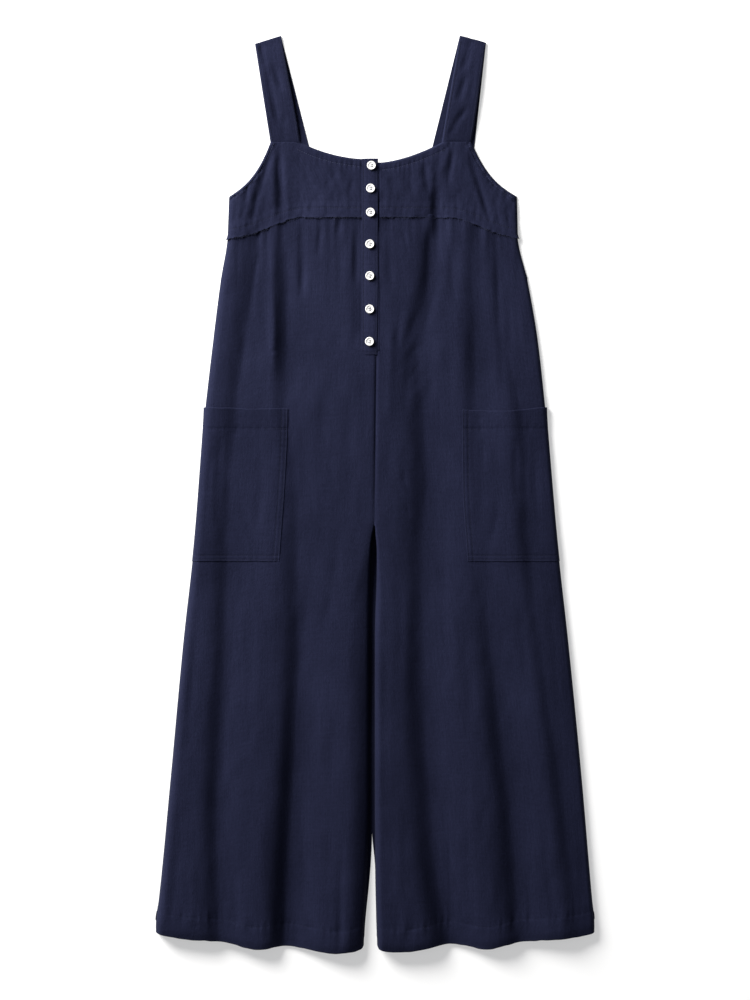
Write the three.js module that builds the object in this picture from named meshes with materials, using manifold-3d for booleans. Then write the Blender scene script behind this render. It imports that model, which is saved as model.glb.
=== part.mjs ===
// A sleeveless wide-leg jumpsuit in navy cotton-linen twill, laid flat on its back.
// Millimetres. The cloth rests on z = 0 with its front up, +Y points to the shoulders and
// -X is the wearer's right. The origin is the middle of the footprint.
// Two back legs and a back yoke lie flat. The front legs, front yokes and button bands lie on
// them in soft upright folds, the patch pockets wrap round the side edges to the back, and each
// strap is one band folded over at the shoulder.
import * as THREE from "three";
import { mergeVertices } from "three/addons/utils/BufferGeometryUtils.js";
import Module from "manifold-3d";

const wasm = await Module();
wasm.setup();

// Cloth and seams
const CLOTH = 1.2; // one layer
const SEAM_GAP = 0.3; // between two pieces that are sewn together
const SLACK = 0.5; // the least air under the front, beyond the seam gap
const HEM_DEPTH = 32; // the turned hem of a leg
const HEM_RAISE = 0.4; // what the turned cloth adds on each side of the wall
const LAP_GAP = 0.8; // between the raw edge of a yoke and the leg under it
const LAP_HIDDEN = 8; // how far a leg runs up under the yoke
const RAW_EDGE = 2; // how far the raw edge hangs below the seam line

// Heights along the garment
const SEAM_Y = 400; // seam under the bust at the centre
const SEAM_FALL = 30.5; // how much lower that seam is at the sides
const STRAP_SEAM_Y = 509.5;
const ARMPIT_Y = 431;
const CROTCH_Y = -48;
const HEM_Y = -646;
const BACK_STRAP_Y = 497;
const POCKET_TOP_Y = 125;
const POCKET_BOTTOM_Y = -97;

// Pockets
const POCKET_CLOTH = 1.0;
const POCKET_BACK = 48; // how far a pocket reaches round onto the back
const POCKET_HEM = 30;
const POCKET_HEM_RAISE = 0.4;
const POCKET_GAPE = 2; // how far the mouth stands off at the side
const POCKET_LIFT = POCKET_CLOTH + SEAM_GAP; // what lies under the back cloth there
const LIFT_RAMP = 36;

// Button front
const BAND_LEFT = -19.3;
const BAND_RIGHT = 3.6;
const BAND_TOP_Y = 485.4;
const BAND_END_Y = 200.7;
const BAND_CLOTH = 1.4;
const BAND_GAP = 0.55;
const UNDER_LEFT = -15.5;
const UNDER_RIGHT = 6.2;
const SLIT_END_Y = 206;
const BUTTON_RADIUS = 6.6;
const BUTTON_HOLE = 0.85;
const BUTTON_HOLE_OFFSET = 1.5;
const buttons = [
  { x: -5.8, y: 475.2 },
  { x: -7.0, y: 442.0 },
  { x: -7.1, y: 406.9 },
  { x: -8.1, y: 361.1 },
  { x: -8.1, y: 315.1 },
  { x: -8.3, y: 267.0 },
  { x: -8.6, y: 220.1 },
];

// Side edges: distance from the centre line on the wearer's right and left.
const sideTable = [
  { y: 432, right: 212, left: 205 },
  { y: 374, right: 214, left: 206 },
  { y: 310, right: 224, left: 220 },
  { y: 223, right: 235, left: 235 },
  { y: 107, right: 248, left: 247.5 },
  { y: -67, right: 262, left: 263 },
  { y: -212, right: 278, left: 279 },
  { y: -415, right: 297, left: 299 },
  { y: -589, right: 314, left: 314 },
  { y: -618, right: 318, left: 317 },
  { y: -650, right: 318.5, left: 317.5 },
];

const SEAM_X = { top: 1.25, bottom: -1.45 }; // the centre seam, from the slit to the crotch

// The two inseams
const inseamTable = [
  { y: CROTCH_Y, right: -1.6, left: -1.3 },
  { y: -62, right: -4.8, left: -0.3 },
  { y: -78, right: -6.8, left: 1.6 },
  { y: -100, right: -7.5, left: 1.6 },
  { y: -212, right: -8.2, left: -1.2 },
  { y: -444, right: -8.6, left: -1.2 },
  { y: -560, right: -12.3, left: 0 },
  { y: -650, right: -16.8, left: 2.3 },
];

// How high the front stands off the back between the folds.
const loftTable = [
  { y: 665, loft: 1.5 },
  { y: 510, loft: 2.5 },
  { y: 430, loft: 4.5 },
  { y: 370, loft: 7 },
  { y: 200, loft: 10 },
  { y: 0, loft: 11 },
  { y: -200, loft: 13 },
  { y: -450, loft: 16 },
  { y: -660, loft: 19 },
];

// Upright folds: the line of each trough and the share of the loft that it takes away.
// steep is the width of the bank on its -X side, gentle of the one on its +X side. On the body the
// steep bank has the share of its width that body gives, and on the legs LEG_BANK of it. The
// gentle bank is wider on the body by BODY_BANK.
const LEG_BANK = 0.88;
const BODY_BANK = 1.35;
const folds = [
  {
    name: "right_inner", steep: 19, gentle: 46, body: 0.88,
    line: [
      { y: 505, x: -137, share: 0.5 },
      { y: 440, x: -136, share: 0.65 },
      { y: 392, x: -131, share: 0.8 },
      { y: 300, x: -128, share: 0.9 },
      { y: 200, x: -127, share: 0.85 },
      { y: 125, x: -126, share: 0.45 },
      { y: 0, x: -112, share: 0.4 },
      { y: -215, x: -110, share: 0.65 },
      { y: -410, x: -118, share: 0.8 },
      { y: -560, x: -127, share: 0.9 },
      { y: -660, x: -131, share: 0.92 },
    ],
  },
  {
    name: "right_outer", steep: 17, gentle: 36, body: 0.95,
    line: [
      { y: 483, x: -154, share: 0.4 },
      { y: 406, x: -164, share: 0.55 },
      { y: 290, x: -178, share: 0.6 },
      { y: 225, x: -187, share: 0.6 },
      { y: 160, x: -197, share: 0.55 },
      { y: -60, x: -212, share: 0.5 },
      { y: -215, x: -216, share: 0.5 },
      { y: -455, x: -228, share: 0.5 },
      { y: -650, x: -224, share: 0.45 },
    ],
  },
  {
    name: "left_inner", steep: 24, gentle: 44, body: 0.75,
    line: [
      { y: 484, x: 116, share: 0.3 },
      { y: 404, x: 88, share: 0.75 },
      { y: 306, x: 80, share: 0.75 },
      { y: 223, x: 63, share: 0.6 },
      { y: 140, x: 70, share: 0.65 },
      { y: 20, x: 76, share: 0.7 },
      { y: -67, x: 70, share: 0.67 },
      { y: -250, x: 70, share: 0.7 },
      { y: -444, x: 81, share: 0.76 },
      { y: -545, x: 89, share: 0.83 },
      { y: -660, x: 112, share: 0.9 },
    ],
  },
  {
    name: "left_outer", steep: 17, gentle: 40, body: 0.75,
    line: [
      { y: 470, x: 146, share: 0.35 },
      { y: 397, x: 145, share: 0.65 },
      { y: 200, x: 146, share: 0.7 },
      { y: 125, x: 146, share: 0.45 },
      { y: -60, x: 150, share: 0.15 },
      { y: -215, x: 168, share: 0.45 },
      { y: -365, x: 185, share: 0.6 },
      { y: -480, x: 199, share: 0.6 },
      { y: -650, x: 210, share: 0.5 },
    ],
  },
  {
    name: "left_side", steep: 15, gentle: 28, body: 0.8,
    line: [
      { y: 430, x: 168, share: 0.3 },
      { y: 368, x: 177, share: 0.4 },
      { y: 200, x: 194, share: 0.4 },
      { y: 90, x: 217, share: 0.45 },
      { y: -35, x: 220, share: 0.45 },
      { y: -150, x: 231, share: 0.2 },
      { y: -410, x: 268, share: 0.35 },
      { y: -640, x: 296, share: 0.15 },
    ],
  },
  {
    name: "beside_band", steep: 15, gentle: 12, body: 0.65,
    line: [
      { y: 410, x: -24, share: 0.1 },
      { y: 300, x: -24, share: 0.25 },
      { y: 240, x: -24, share: 0.25 },
      { y: 209, x: -24, share: 0 },
    ],
  },
];

// Where the crests between the folds push the front hem down, each on its own leg.
const hemDips = [
  { x: -173, width: 36, drop: 10.5 },
  { x: -58, width: 66, drop: 17.5 },
  { x: 35, width: 60, drop: 15.5 },
  { x: 159, width: 37, drop: 11 },
];

const HEM_CORNER = { rise: 8, width: 7 }; // rounded off where the hem meets the inseam

// Plan corners of the straps: the seam at the front yoke, the fold at the shoulder and the
// end on the back yoke. outer is the armhole edge and inner the neck edge.
const straps = {
  right: {
    front: { outer: [-152.3, STRAP_SEAM_Y], inner: [-108.2, STRAP_SEAM_Y] },
    fold: { outer: [-174.2, 650.6], inner: [-136.9, 662.6] },
    back: { outer: [-150, BACK_STRAP_Y], inner: [-94.7, BACK_STRAP_Y] },
  },
  left: {
    front: { outer: [139.6, STRAP_SEAM_Y], inner: [95.8, STRAP_SEAM_Y] },
    fold: { outer: [159.8, 652.4], inner: [122.1, 662.6] },
    back: { outer: [142.5, BACK_STRAP_Y], inner: [81.2, BACK_STRAP_Y] },
  },
};
const necklines = {
  right: { low: 485, power: 2.2 },
  left: { low: 480, power: 1.7 },
};
const ARMHOLE_POWER = 1.75;

const SIGN = { right: -1, left: 1 };
const clamp01 = (v) => Math.min(1, Math.max(0, v));
const smooth = (v) => clamp01(v) ** 2 * (3 - 2 * clamp01(v));
const lerp = (a, b, t) => a + (b - a) * t;
const bell = (v) => Math.exp(-v * v);

// One column of a table at height y, as a monotone cubic through its rows, which run downwards.
function read(table, column, y) {
  const last = table.length - 1;
  if (y >= table[0].y) return table[0][column];
  if (y <= table[last].y) return table[last][column];
  const i = table.findIndex((row) => row.y < y) - 1;
  const slope = (k) => {
    if (k < 0 || k >= last) return null;
    return (table[k + 1][column] - table[k][column]) / (table[k + 1].y - table[k].y);
  };
  const tangent = (k) => {
    const [before, after] = [slope(k - 1), slope(k)];
    if (before === null || after === null) return before ?? after;
    return before * after <= 0 ? 0 : (2 * before * after) / (before + after);
  };
  const span = table[i + 1].y - table[i].y;
  const t = (y - table[i].y) / span;
  const [t2, t3] = [t * t, t * t * t];
  return (
    (2 * t3 - 3 * t2 + 1) * table[i][column] +
    (t3 - 2 * t2 + t) * span * tangent(i) +
    (3 * t2 - 2 * t3) * table[i + 1][column] +
    (t3 - t2) * span * tangent(i + 1)
  );
}

const sideX = (side, y) => SIGN[side] * read(sideTable, side, y);
const seamY = (x) => SEAM_Y - SEAM_FALL * smooth((Math.abs(x) - 85) / 130);

// The edge of a front leg or yoke at the centre: beside the button bands, then the centre seam,
// then the inseam.
function innerX(side, y) {
  if (y > SLIT_END_Y) return side === "right" ? UNDER_LEFT - SEAM_GAP : UNDER_RIGHT + SEAM_GAP;
  if (y < CROTCH_Y) return read(inseamTable, side, y);
  const down = (SLIT_END_Y - y) / (SLIT_END_Y - CROTCH_Y);
  return lerp(SEAM_X.top, SEAM_X.bottom, down) + (SIGN[side] * SEAM_GAP) / 2;
}

function neckY(side, x) {
  const reach = Math.abs(straps[side].front.inner[0]);
  const { low, power } = necklines[side];
  return low + (STRAP_SEAM_Y - low) * Math.min(1, Math.abs(x) / reach) ** power;
}

function armholeY(side, x) {
  const start = Math.abs(straps[side].front.outer[0]);
  const end = Math.abs(sideX(side, ARMPIT_Y));
  const along = clamp01((Math.abs(x) - start) / (end - start));
  return ARMPIT_Y + (STRAP_SEAM_Y - ARMPIT_Y) * (1 - along) ** ARMHOLE_POWER;
}

function yokeTopY(side, x) {
  const { inner, outer } = straps[side].front;
  if (Math.abs(x) < Math.abs(inner[0])) return neckY(side, x);
  if (Math.abs(x) <= Math.abs(outer[0])) return STRAP_SEAM_Y;
  return armholeY(side, x);
}

// The front hem: rounded off at both ends, and pushed down by the crests of the folds.
function frontHemY(x) {
  const side = x < -7 ? "right" : "left";
  const ends = 12 * (Math.abs(x) / 318) ** 8;
  const dips = hemDips
    .filter((dip) => Math.sign(dip.x) === SIGN[side])
    .reduce((sum, dip) => sum + dip.drop * bell((x - dip.x) / dip.width), 0);
  const fromInseam = Math.abs(x - innerX(side, HEM_Y));
  return HEM_Y + ends - dips + HEM_CORNER.rise * clamp01(1 - fromInseam / HEM_CORNER.width) ** 2;
}

const backHemY = (x) => HEM_Y + 4 + 12 * (Math.abs(x) / 318) ** 6;

// Free edges of the front in plan, where it curves down to the back.
function sampled(from, to, step, point) {
  const count = Math.max(2, Math.ceil(Math.abs(to - from) / step) + 1);
  return Array.from({ length: count }, (_, i) => point(lerp(from, to, i / (count - 1))));
}

function freeEdges(side) {
  const { front, fold } = straps[side];
  const [inner, outer] = [front.inner[0], front.outer[0]];
  return {
    side: sampled(-680, ARMPIT_Y, 18, (y) => [sideX(side, y), y]),
    inseam: sampled(-680, CROTCH_Y, 10, (y) => [innerX(side, y), y]),
    neck: [
      ...sampled(-SIGN[side] * 20, inner, 9, (x) => [x, neckY(side, x * SIGN[side] < 0 ? 0 : x)]),
      fold.inner,
    ],
    arm: [
      fold.outer,
      ...sampled(outer, sideX(side, ARMPIT_Y), 4, (x) => [x, armholeY(side, x)]),
    ],
  };
}

const edges = { right: freeEdges("right"), left: freeEdges("left") };
// The curve along the inseam grows from a fifth of its radius at the crotch to all of it.
const EDGE_RADIUS = {
  right: { side: 14, inseam: 14, neck: 8, arm: 8 },
  left: { side: 14, inseam: 16, neck: 8, arm: 8 },
};

// How the front settles towards two of its edges. Pairs go from the crotch to the thigh, and thigh
// is what the share gains from there to the knee.
const SETTLE = {
  side: { reach: 60, share: 0.5, top: 400 },
  inseam: { reach: [12, 32], share: [0.12, 0.5], thigh: 0.18 },
};

// The nearest point of a line of edge points, with the direction square to it in plan.
function nearest(line, x, y) {
  let best = { distance: Infinity };
  for (let i = 1; i < line.length; i++) {
    const [ax, ay] = line[i - 1];
    const [dx, dy] = [line[i][0] - ax, line[i][1] - ay];
    const length = Math.hypot(dx, dy);
    const t = clamp01(((x - ax) * dx + (y - ay) * dy) / length ** 2);
    const distance = Math.hypot(x - ax - t * dx, y - ay - t * dy);
    if (distance < best.distance) best = { distance, square: [dy / length, -dx / length] };
  }
  return best;
}

// The side edge runs with the wearer's body on its inside; the other three run against it.
const TURN = { side: 1, inseam: -1, neck: -1, arm: -1 };
const ON_EDGE = 0.2;

// The outward direction in plan at a point of a free edge, or null inside the cloth.
function outward(side, x, y) {
  const sum = new THREE.Vector3();
  for (const [name, line] of Object.entries(edges[side])) {
    const { distance, square } = nearest(line, x, y);
    if (distance > ON_EDGE) continue;
    const turn = TURN[name] * SIGN[side];
    sum.x += turn * square[0];
    sum.y += turn * square[1];
  }
  return sum.length() > 0 ? sum.normalize() : null;
}

// How far the back cloth is lifted by the part of a pocket that lies under it.
function lift(x, y) {
  const side = x < 0 ? "right" : "left";
  const fromSide = Math.abs(sideX(side, y)) - Math.abs(x);
  const across = smooth((POCKET_BACK + 2 + LIFT_RAMP - fromSide) / LIFT_RAMP);
  const above = smooth((POCKET_TOP_Y + LIFT_RAMP - y) / LIFT_RAMP);
  const below = smooth((y - POCKET_BOTTOM_Y + LIFT_RAMP) / LIFT_RAMP);
  return POCKET_LIFT * across * above * below;
}

// 0 on the body and 1 on the legs.
const onLeg = (y) => smooth((60 - y) / 300);

// The front sinks in a long slope towards the edge that the light leaves in shade: the inseam of
// the right leg and the side of the left half. The share of its height that is left.
function settled(side, x, y) {
  if (side === "left") {
    const inside = clamp01(nearest(edges.left.side, x, y).distance / SETTLE.side.reach);
    return 1 - SETTLE.side.share * smooth((SETTLE.side.top - y) / 80) * (1 - inside) ** 2;
  }
  const { reach, share, thigh } = SETTLE.inseam;
  const grown = smooth((CROTCH_Y - 32 - y) / 90);
  const inside = clamp01(nearest(edges.right.inseam, x, y).distance / lerp(reach[0], reach[1], grown));
  const sunk = lerp(share[0], share[1], smooth((CROTCH_Y - 12 - y) / 110));
  return 1 - (sunk + thigh * smooth((-200 - y) / 150)) * (1 - inside) ** 2;
}

// Height of the outer face of the front: the loft, less the folds, rounded down at free edges.
function frontHeight(side, x, y) {
  let loft = read(loftTable, "loft", y);
  for (const fold of folds) {
    const off = x - read(fold.line, "x", y);
    const steep = fold.steep * lerp(fold.body, LEG_BANK, onLeg(y));
    const gentle = fold.gentle * lerp(BODY_BANK, 1, onLeg(y));
    loft *= 1 - read(fold.line, "share", y) * bell(off / (off < 0 ? steep : gentle));
  }
  const rise = CLOTH + SLACK + loft;
  let round = 1;
  for (const [name, line] of Object.entries(edges[side])) {
    const growth = name === "inseam" ? lerp(0.2, 1, smooth((CROTCH_Y + 10 - y) / 100)) : 1;
    const radius = Math.min(EDGE_RADIUS[side][name] * growth, (rise * rise) / 1.6);
    const inside = clamp01(nearest(line, x, y).distance / radius);
    round *= Math.sqrt(1 - (1 - inside) ** 2);
  }
  return CLOTH + lift(x, y) + SEAM_GAP + rise * round * settled(side, x, y);
}

// A point of the front's outer face with its outward normal, which is level on a free edge and
// leans neither way across the centre seam.
function frontPoint(side, x, y) {
  const at = new THREE.Vector3(x, y, frontHeight(side, x, y));
  const edge = outward(side, x, y);
  if (edge) return { at, normal: edge };
  const step = 0.3;
  const riseX = frontHeight(side, x + step, y) - frontHeight(side, x - step, y);
  const riseY = frontHeight(side, x, y + step) - frontHeight(side, x, y - step);
  const atSeam = Math.abs(x - innerX(side, y)) < 0.01;
  return { at, normal: new THREE.Vector3(atSeam ? 0 : -riseX, -riseY, 2 * step).normalize() };
}

const moved = (p, distance) => ({
  at: p.at.clone().addScaledVector(p.normal, distance),
  normal: p.normal,
});

// A closed wall: a grid of outer points, and the same points moved in by thick(row, column).
function wall(grid, thick) {
  const rows = grid.length;
  const columns = grid[0].length;
  const outer = grid.flat().map((p) => p.at);
  const inner = grid.flatMap((row, i) =>
    row.map((p, j) => p.at.clone().addScaledVector(p.normal, -thick(i, j))),
  );
  const positions = [...outer, ...inner].flatMap((p) => [p.x, p.y, p.z]);
  const out = (i, j) => i * columns + j;
  const into = (i, j) => rows * columns + i * columns + j;
  const index = [];
  const quad = (a, b, c, d) => index.push(a, b, c, a, c, d);
  for (let i = 0; i < rows - 1; i++) {
    for (let j = 0; j < columns - 1; j++) {
      quad(out(i, j), out(i, j + 1), out(i + 1, j + 1), out(i + 1, j));
      index.push(into(i, j), into(i + 1, j + 1), into(i, j + 1));
      index.push(into(i, j), into(i + 1, j), into(i + 1, j + 1));
    }
  }
  for (let j = 0; j < columns - 1; j++) {
    quad(out(0, j + 1), out(0, j), into(0, j), into(0, j + 1));
    quad(out(rows - 1, j), out(rows - 1, j + 1), into(rows - 1, j + 1), into(rows - 1, j));
  }
  for (let i = 0; i < rows - 1; i++) {
    quad(out(i, 0), out(i + 1, 0), into(i + 1, 0), into(i, 0));
    quad(out(i + 1, columns - 1), out(i, columns - 1), into(i, columns - 1), into(i + 1, columns - 1));
  }
  return facingOut(positions, index);
}

// The geometry with its faces turned outwards, whichever way the grid ran.
function facingOut(positions, index) {
  let volume = 0;
  const at = (k) => new THREE.Vector3().fromArray(positions, 3 * k);
  for (let t = 0; t < index.length; t += 3) {
    volume += at(index[t]).dot(at(index[t + 1]).cross(at(index[t + 2])));
  }
  if (volume < 0) {
    for (let t = 0; t < index.length; t += 3) {
      [index[t + 1], index[t + 2]] = [index[t + 2], index[t + 1]];
    }
  }
  const geometry = new THREE.BufferGeometry();
  geometry.setAttribute("position", new THREE.Float32BufferAttribute(positions, 3));
  geometry.setIndex(index);
  return geometry;
}

// Rows and columns that the front and back legs share, so that their side edges match.
const legRows = [
  SEAM_Y + LAP_HIDDEN, 396, 370, 325, 280, 240, 222, SLIT_END_Y + 0.15, SLIT_END_Y - 0.15, 180,
  POCKET_TOP_Y + LIFT_RAMP, 143, POCKET_TOP_Y, 85, 40, -5, CROTCH_Y, -62, -78,
  POCKET_BOTTOM_Y, -115, POCKET_BOTTOM_Y - LIFT_RAMP, -180, -235, -290, -345, -400, -455,
  -510, -565, HEM_Y + HEM_DEPTH + 3, HEM_Y + HEM_DEPTH - 1, HEM_Y,
];
const TOP_BEND_Y = 190; // above this the rows bend to follow the seam under the bust
const HEM_BEND_Y = -480; // below this they bend to follow the hem
const fromInner = [0, 1, 4, 10];
const fromSide = [103, 85, 67, 50, 34, 20, 10, 4, 1, 0];
const BETWEEN = 7; // columns from the line at FIRST_COLUMN to the pocket's inner edge
const FIRST_COLUMN = 30;

const pocketEdge = (side, y) =>
  Math.abs(sideX(side, y)) - lerp(121, 129, clamp01((POCKET_TOP_Y - y) / 222));

function legColumns(side, y) {
  const [inner, outer] = [innerX(side, y) * SIGN[side], Math.abs(sideX(side, y))];
  const edge = pocketEdge(side, y);
  return [
    ...fromInner.map((d) => inner + d),
    ...Array.from({ length: BETWEEN }, (_, k) => lerp(FIRST_COLUMN, edge, k / BETWEEN)),
    edge,
    ...fromSide.map((d) => outer - d),
  ].map((x) => SIGN[side] * x);
}

// The grid of a leg: nominal row heights, bent to the top edge and to the hem.
function legGrid(side, topY, hemY, columnsAt, pointAt) {
  const bent = (nominal, x) => {
    const up = clamp01((nominal - TOP_BEND_Y) / (legRows[0] - TOP_BEND_Y));
    const down = clamp01((HEM_BEND_Y - nominal) / (HEM_BEND_Y - HEM_Y));
    return nominal + up * (topY(x) - legRows[0]) + down * (hemY(x) - HEM_Y);
  };
  return legRows.map((nominal) =>
    columnsAt(side, nominal).map((start, j) => {
      let x = start;
      let y = bent(nominal, x);
      for (let turn = 0; turn < 2; turn++) {
        x = columnsAt(side, y > SLIT_END_Y === nominal > SLIT_END_Y ? y : nominal)[j];
        y = bent(nominal, x);
      }
      return pointAt(side, x, y);
    }),
  );
}

const inHem = (y, x) => smooth((frontHemY(x) + HEM_DEPTH + 2 - y) / 4);

function frontLegGrid(side) {
  return legGrid(side, (x) => seamY(x) + LAP_HIDDEN, frontHemY, legColumns, (s, x, y) =>
    moved(frontPoint(s, x, y), HEM_RAISE * inHem(y, x)),
  );
}

function frontLeg(side) {
  const grid = frontLegGrid(side);
  return wall(grid, (i, j) => CLOTH + 2 * HEM_RAISE * inHem(grid[i][j].at.y, grid[i][j].at.x));
}

// The back lies flat, but for the lift over the pockets. Its outer face is the underside.
const flatPoint = (side, x, y) => ({
  at: new THREE.Vector3(x, y, lift(x, y)),
  normal: new THREE.Vector3(0, 0, -1),
});

function backLegColumns(side, y) {
  const inner = y > CROTCH_Y ? SEAM_GAP / 2 : Math.max(SEAM_GAP / 2, innerX(side, y) * SIGN[side]);
  const outer = Math.abs(sideX(side, y));
  const flat = outer - POCKET_BACK - 2;
  return [
    ...[0, 1 / 3, 2 / 3].map((t) => lerp(inner, flat - LIFT_RAMP, t)),
    ...[1, 0.67, 0.33, 0].map((t) => flat - t * LIFT_RAMP),
    ...[0.34, 0.67, 1].map((t) => lerp(flat, outer, t)),
  ].map((x) => SIGN[side] * x);
}

const backLeg = (side) =>
  wall(
    legGrid(side, (x) => seamY(x) - SEAM_GAP / 2, backHemY, backLegColumns, flatPoint),
    () => CLOTH,
  );

// How far a yoke stands off the front's own height: it laps over the top of the leg.
function lapRaise(x, y) {
  return (CLOTH + LAP_GAP) * smooth((seamY(x) + 22 - y) / 12);
}

const rawEdgeY = (x) => seamY(x) - RAW_EDGE - 1.1 * Math.sin(x / 11) - 0.7 * Math.sin(x / 5.3 + 2);

const shareOfArmhole = [0.1, 0.22, 0.38, 0.55, 0.72, 0.86, 0.94, 0.985, 1];
const fromRawEdge = [0, 4, 9, 15, 24];
const fromTop = [8, 4, 1.5, 0];

function frontYokeGrid(side) {
  const { inner, outer } = straps[side].front;
  const start = Math.abs(innerX(side, SEAM_Y));
  const across = [
    ...sampled(start, Math.abs(inner[0]), 13, (x) => x),
    ...sampled(Math.abs(inner[0]), Math.abs(outer[0]), 12, (x) => x).slice(1),
  ].map((x) => () => SIGN[side] * x);
  const beside = shareOfArmhole.map((share) => (y) => lerp(outer[0], sideX(side, y), share));
  const columns = [...across, ...beside];
  const heights = (x) => {
    const [low, high] = [rawEdgeY(x), yokeTopY(side, x)];
    const [from, to] = [low + fromRawEdge.at(-1), high - fromTop[0]];
    return [
      ...fromRawEdge.map((d) => low + d),
      ...[0.33, 0.67].map((t) => lerp(from, to, t)),
      ...fromTop.map((d) => high - d),
    ];
  };
  const count = fromRawEdge.length + 2 + fromTop.length;
  return Array.from({ length: count }, (_, i) =>
    columns.map((columnX) => {
      let x = columnX(ARMPIT_Y);
      for (let turn = 0; turn < 2; turn++) x = columnX(heights(x)[i]);
      const y = heights(x)[i] - SEAM_GAP / 2;
      return moved(frontPoint(side, x, y), lapRaise(x, y));
    }),
  );
}

const frontYoke = (side) => wall(frontYokeGrid(side), () => CLOTH);

// The back yoke is cut in one. Its neck and armholes lie just inside those of the front, and
// its columns start where those of the back legs end.
const BACK_NECK_Y = 474;
const BACK_ARMPIT_Y = ARMPIT_Y - 2;
const backShareOfArmhole = [0.12, 0.28, 0.48, 0.7, 0.88, 1];

function backYokeTopY(side, x) {
  const { inner, outer } = straps[side].back;
  const [from, to] = [Math.abs(inner[0]), Math.abs(outer[0])];
  if (Math.abs(x) < from) {
    return BACK_NECK_Y + (BACK_STRAP_Y - BACK_NECK_Y) * (Math.abs(x) / from) ** 2.2;
  }
  const along = clamp01((Math.abs(x) - to) / (Math.abs(sideX(side, ARMPIT_Y)) - to));
  return BACK_ARMPIT_Y + (BACK_STRAP_Y - BACK_ARMPIT_Y) * (1 - along) ** ARMHOLE_POWER;
}

function backYoke() {
  const half = (side) => {
    const { inner, outer } = straps[side].back;
    const top = [
      0, inner[0] / 2, inner[0], outer[0],
      ...backShareOfArmhole.map((share) => lerp(outer[0], sideX(side, BACK_ARMPIT_Y), share)),
    ];
    return top.map((topX, j) => {
      const seam = j === 0 ? 0 : backLegColumns(side, seamY(sideX(side, SEAM_Y)))[j];
      return (share) => {
        const low = seamY(seam) + SEAM_GAP / 2;
        const high = backYokeTopY(side, topX) - SEAM_GAP / 2;
        return flatPoint(side, lerp(seam, topX, share), lerp(low, high, share));
      };
    });
  };
  const columns = [...half("right").reverse(), ...half("left").slice(1)];
  return wall(
    [0, 0.33, 0.67, 1].map((share) => columns.map((pointAt) => pointAt(share))),
    () => CLOTH,
  );
}

// A strap: its front layer, the fold at the shoulder and its back layer, as one bent band.
function strap(side) {
  const { front, fold, back } = straps[side];
  const across = [0, 0.25, 0.5, 0.75, 1];
  const between = (a, b, t) => [lerp(a[0], b[0], t), lerp(a[1], b[1], t)];
  const crown = (t, w) => lerp(2.6, 0.3, t) * (1 - (2 * w - 1) ** 2) + 0.3;
  const low = 2 * CLOTH + SEAM_GAP;
  const up = new THREE.Vector3(0, 0, 1);
  const foldLine = new THREE.Vector3(
    fold.inner[0] - fold.outer[0], fold.inner[1] - fold.outer[1], 0,
  ).normalize();
  const away = new THREE.Vector3(-foldLine.y, foldLine.x, 0);
  if (away.y < 0) away.negate();
  const rows = [];
  for (const t of [0, 0.12, 0.25, 0.4, 0.55, 0.7, 0.85, 0.95]) {
    rows.push(
      across.map((w) => {
        const start = between(front.outer, front.inner, w);
        const end = between(fold.outer, fold.inner, w);
        const [x, y] = between([start[0], start[1] + SEAM_GAP / 2], end, t);
        return { at: new THREE.Vector3(x, y, low + crown(t, w)), normal: up };
      }),
    );
  }
  for (const angle of [0, 36, 72, 108, 144, 180]) {
    rows.push(
      across.map((w) => {
        const [x, y] = between(fold.outer, fold.inner, w);
        const radius = (low + crown(1, w)) / 2;
        const turn = THREE.MathUtils.degToRad(angle);
        const normal = up.clone().multiplyScalar(Math.cos(turn));
        normal.addScaledVector(away, Math.sin(turn));
        const at = new THREE.Vector3(x, y, radius).addScaledVector(normal, radius);
        return { at, normal };
      }),
    );
  }
  for (const t of [0.08, 0.3, 0.55, 0.8, 1]) {
    rows.push(
      across.map((w) => {
        const start = between(fold.outer, fold.inner, w);
        const end = between(back.outer, back.inner, w);
        const [x, y] = between(start, [end[0], end[1] + SEAM_GAP / 2], t);
        return { at: new THREE.Vector3(x, y, 0), normal: up.clone().negate() };
      }),
    );
  }
  return wall(rows, () => CLOTH);
}

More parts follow.
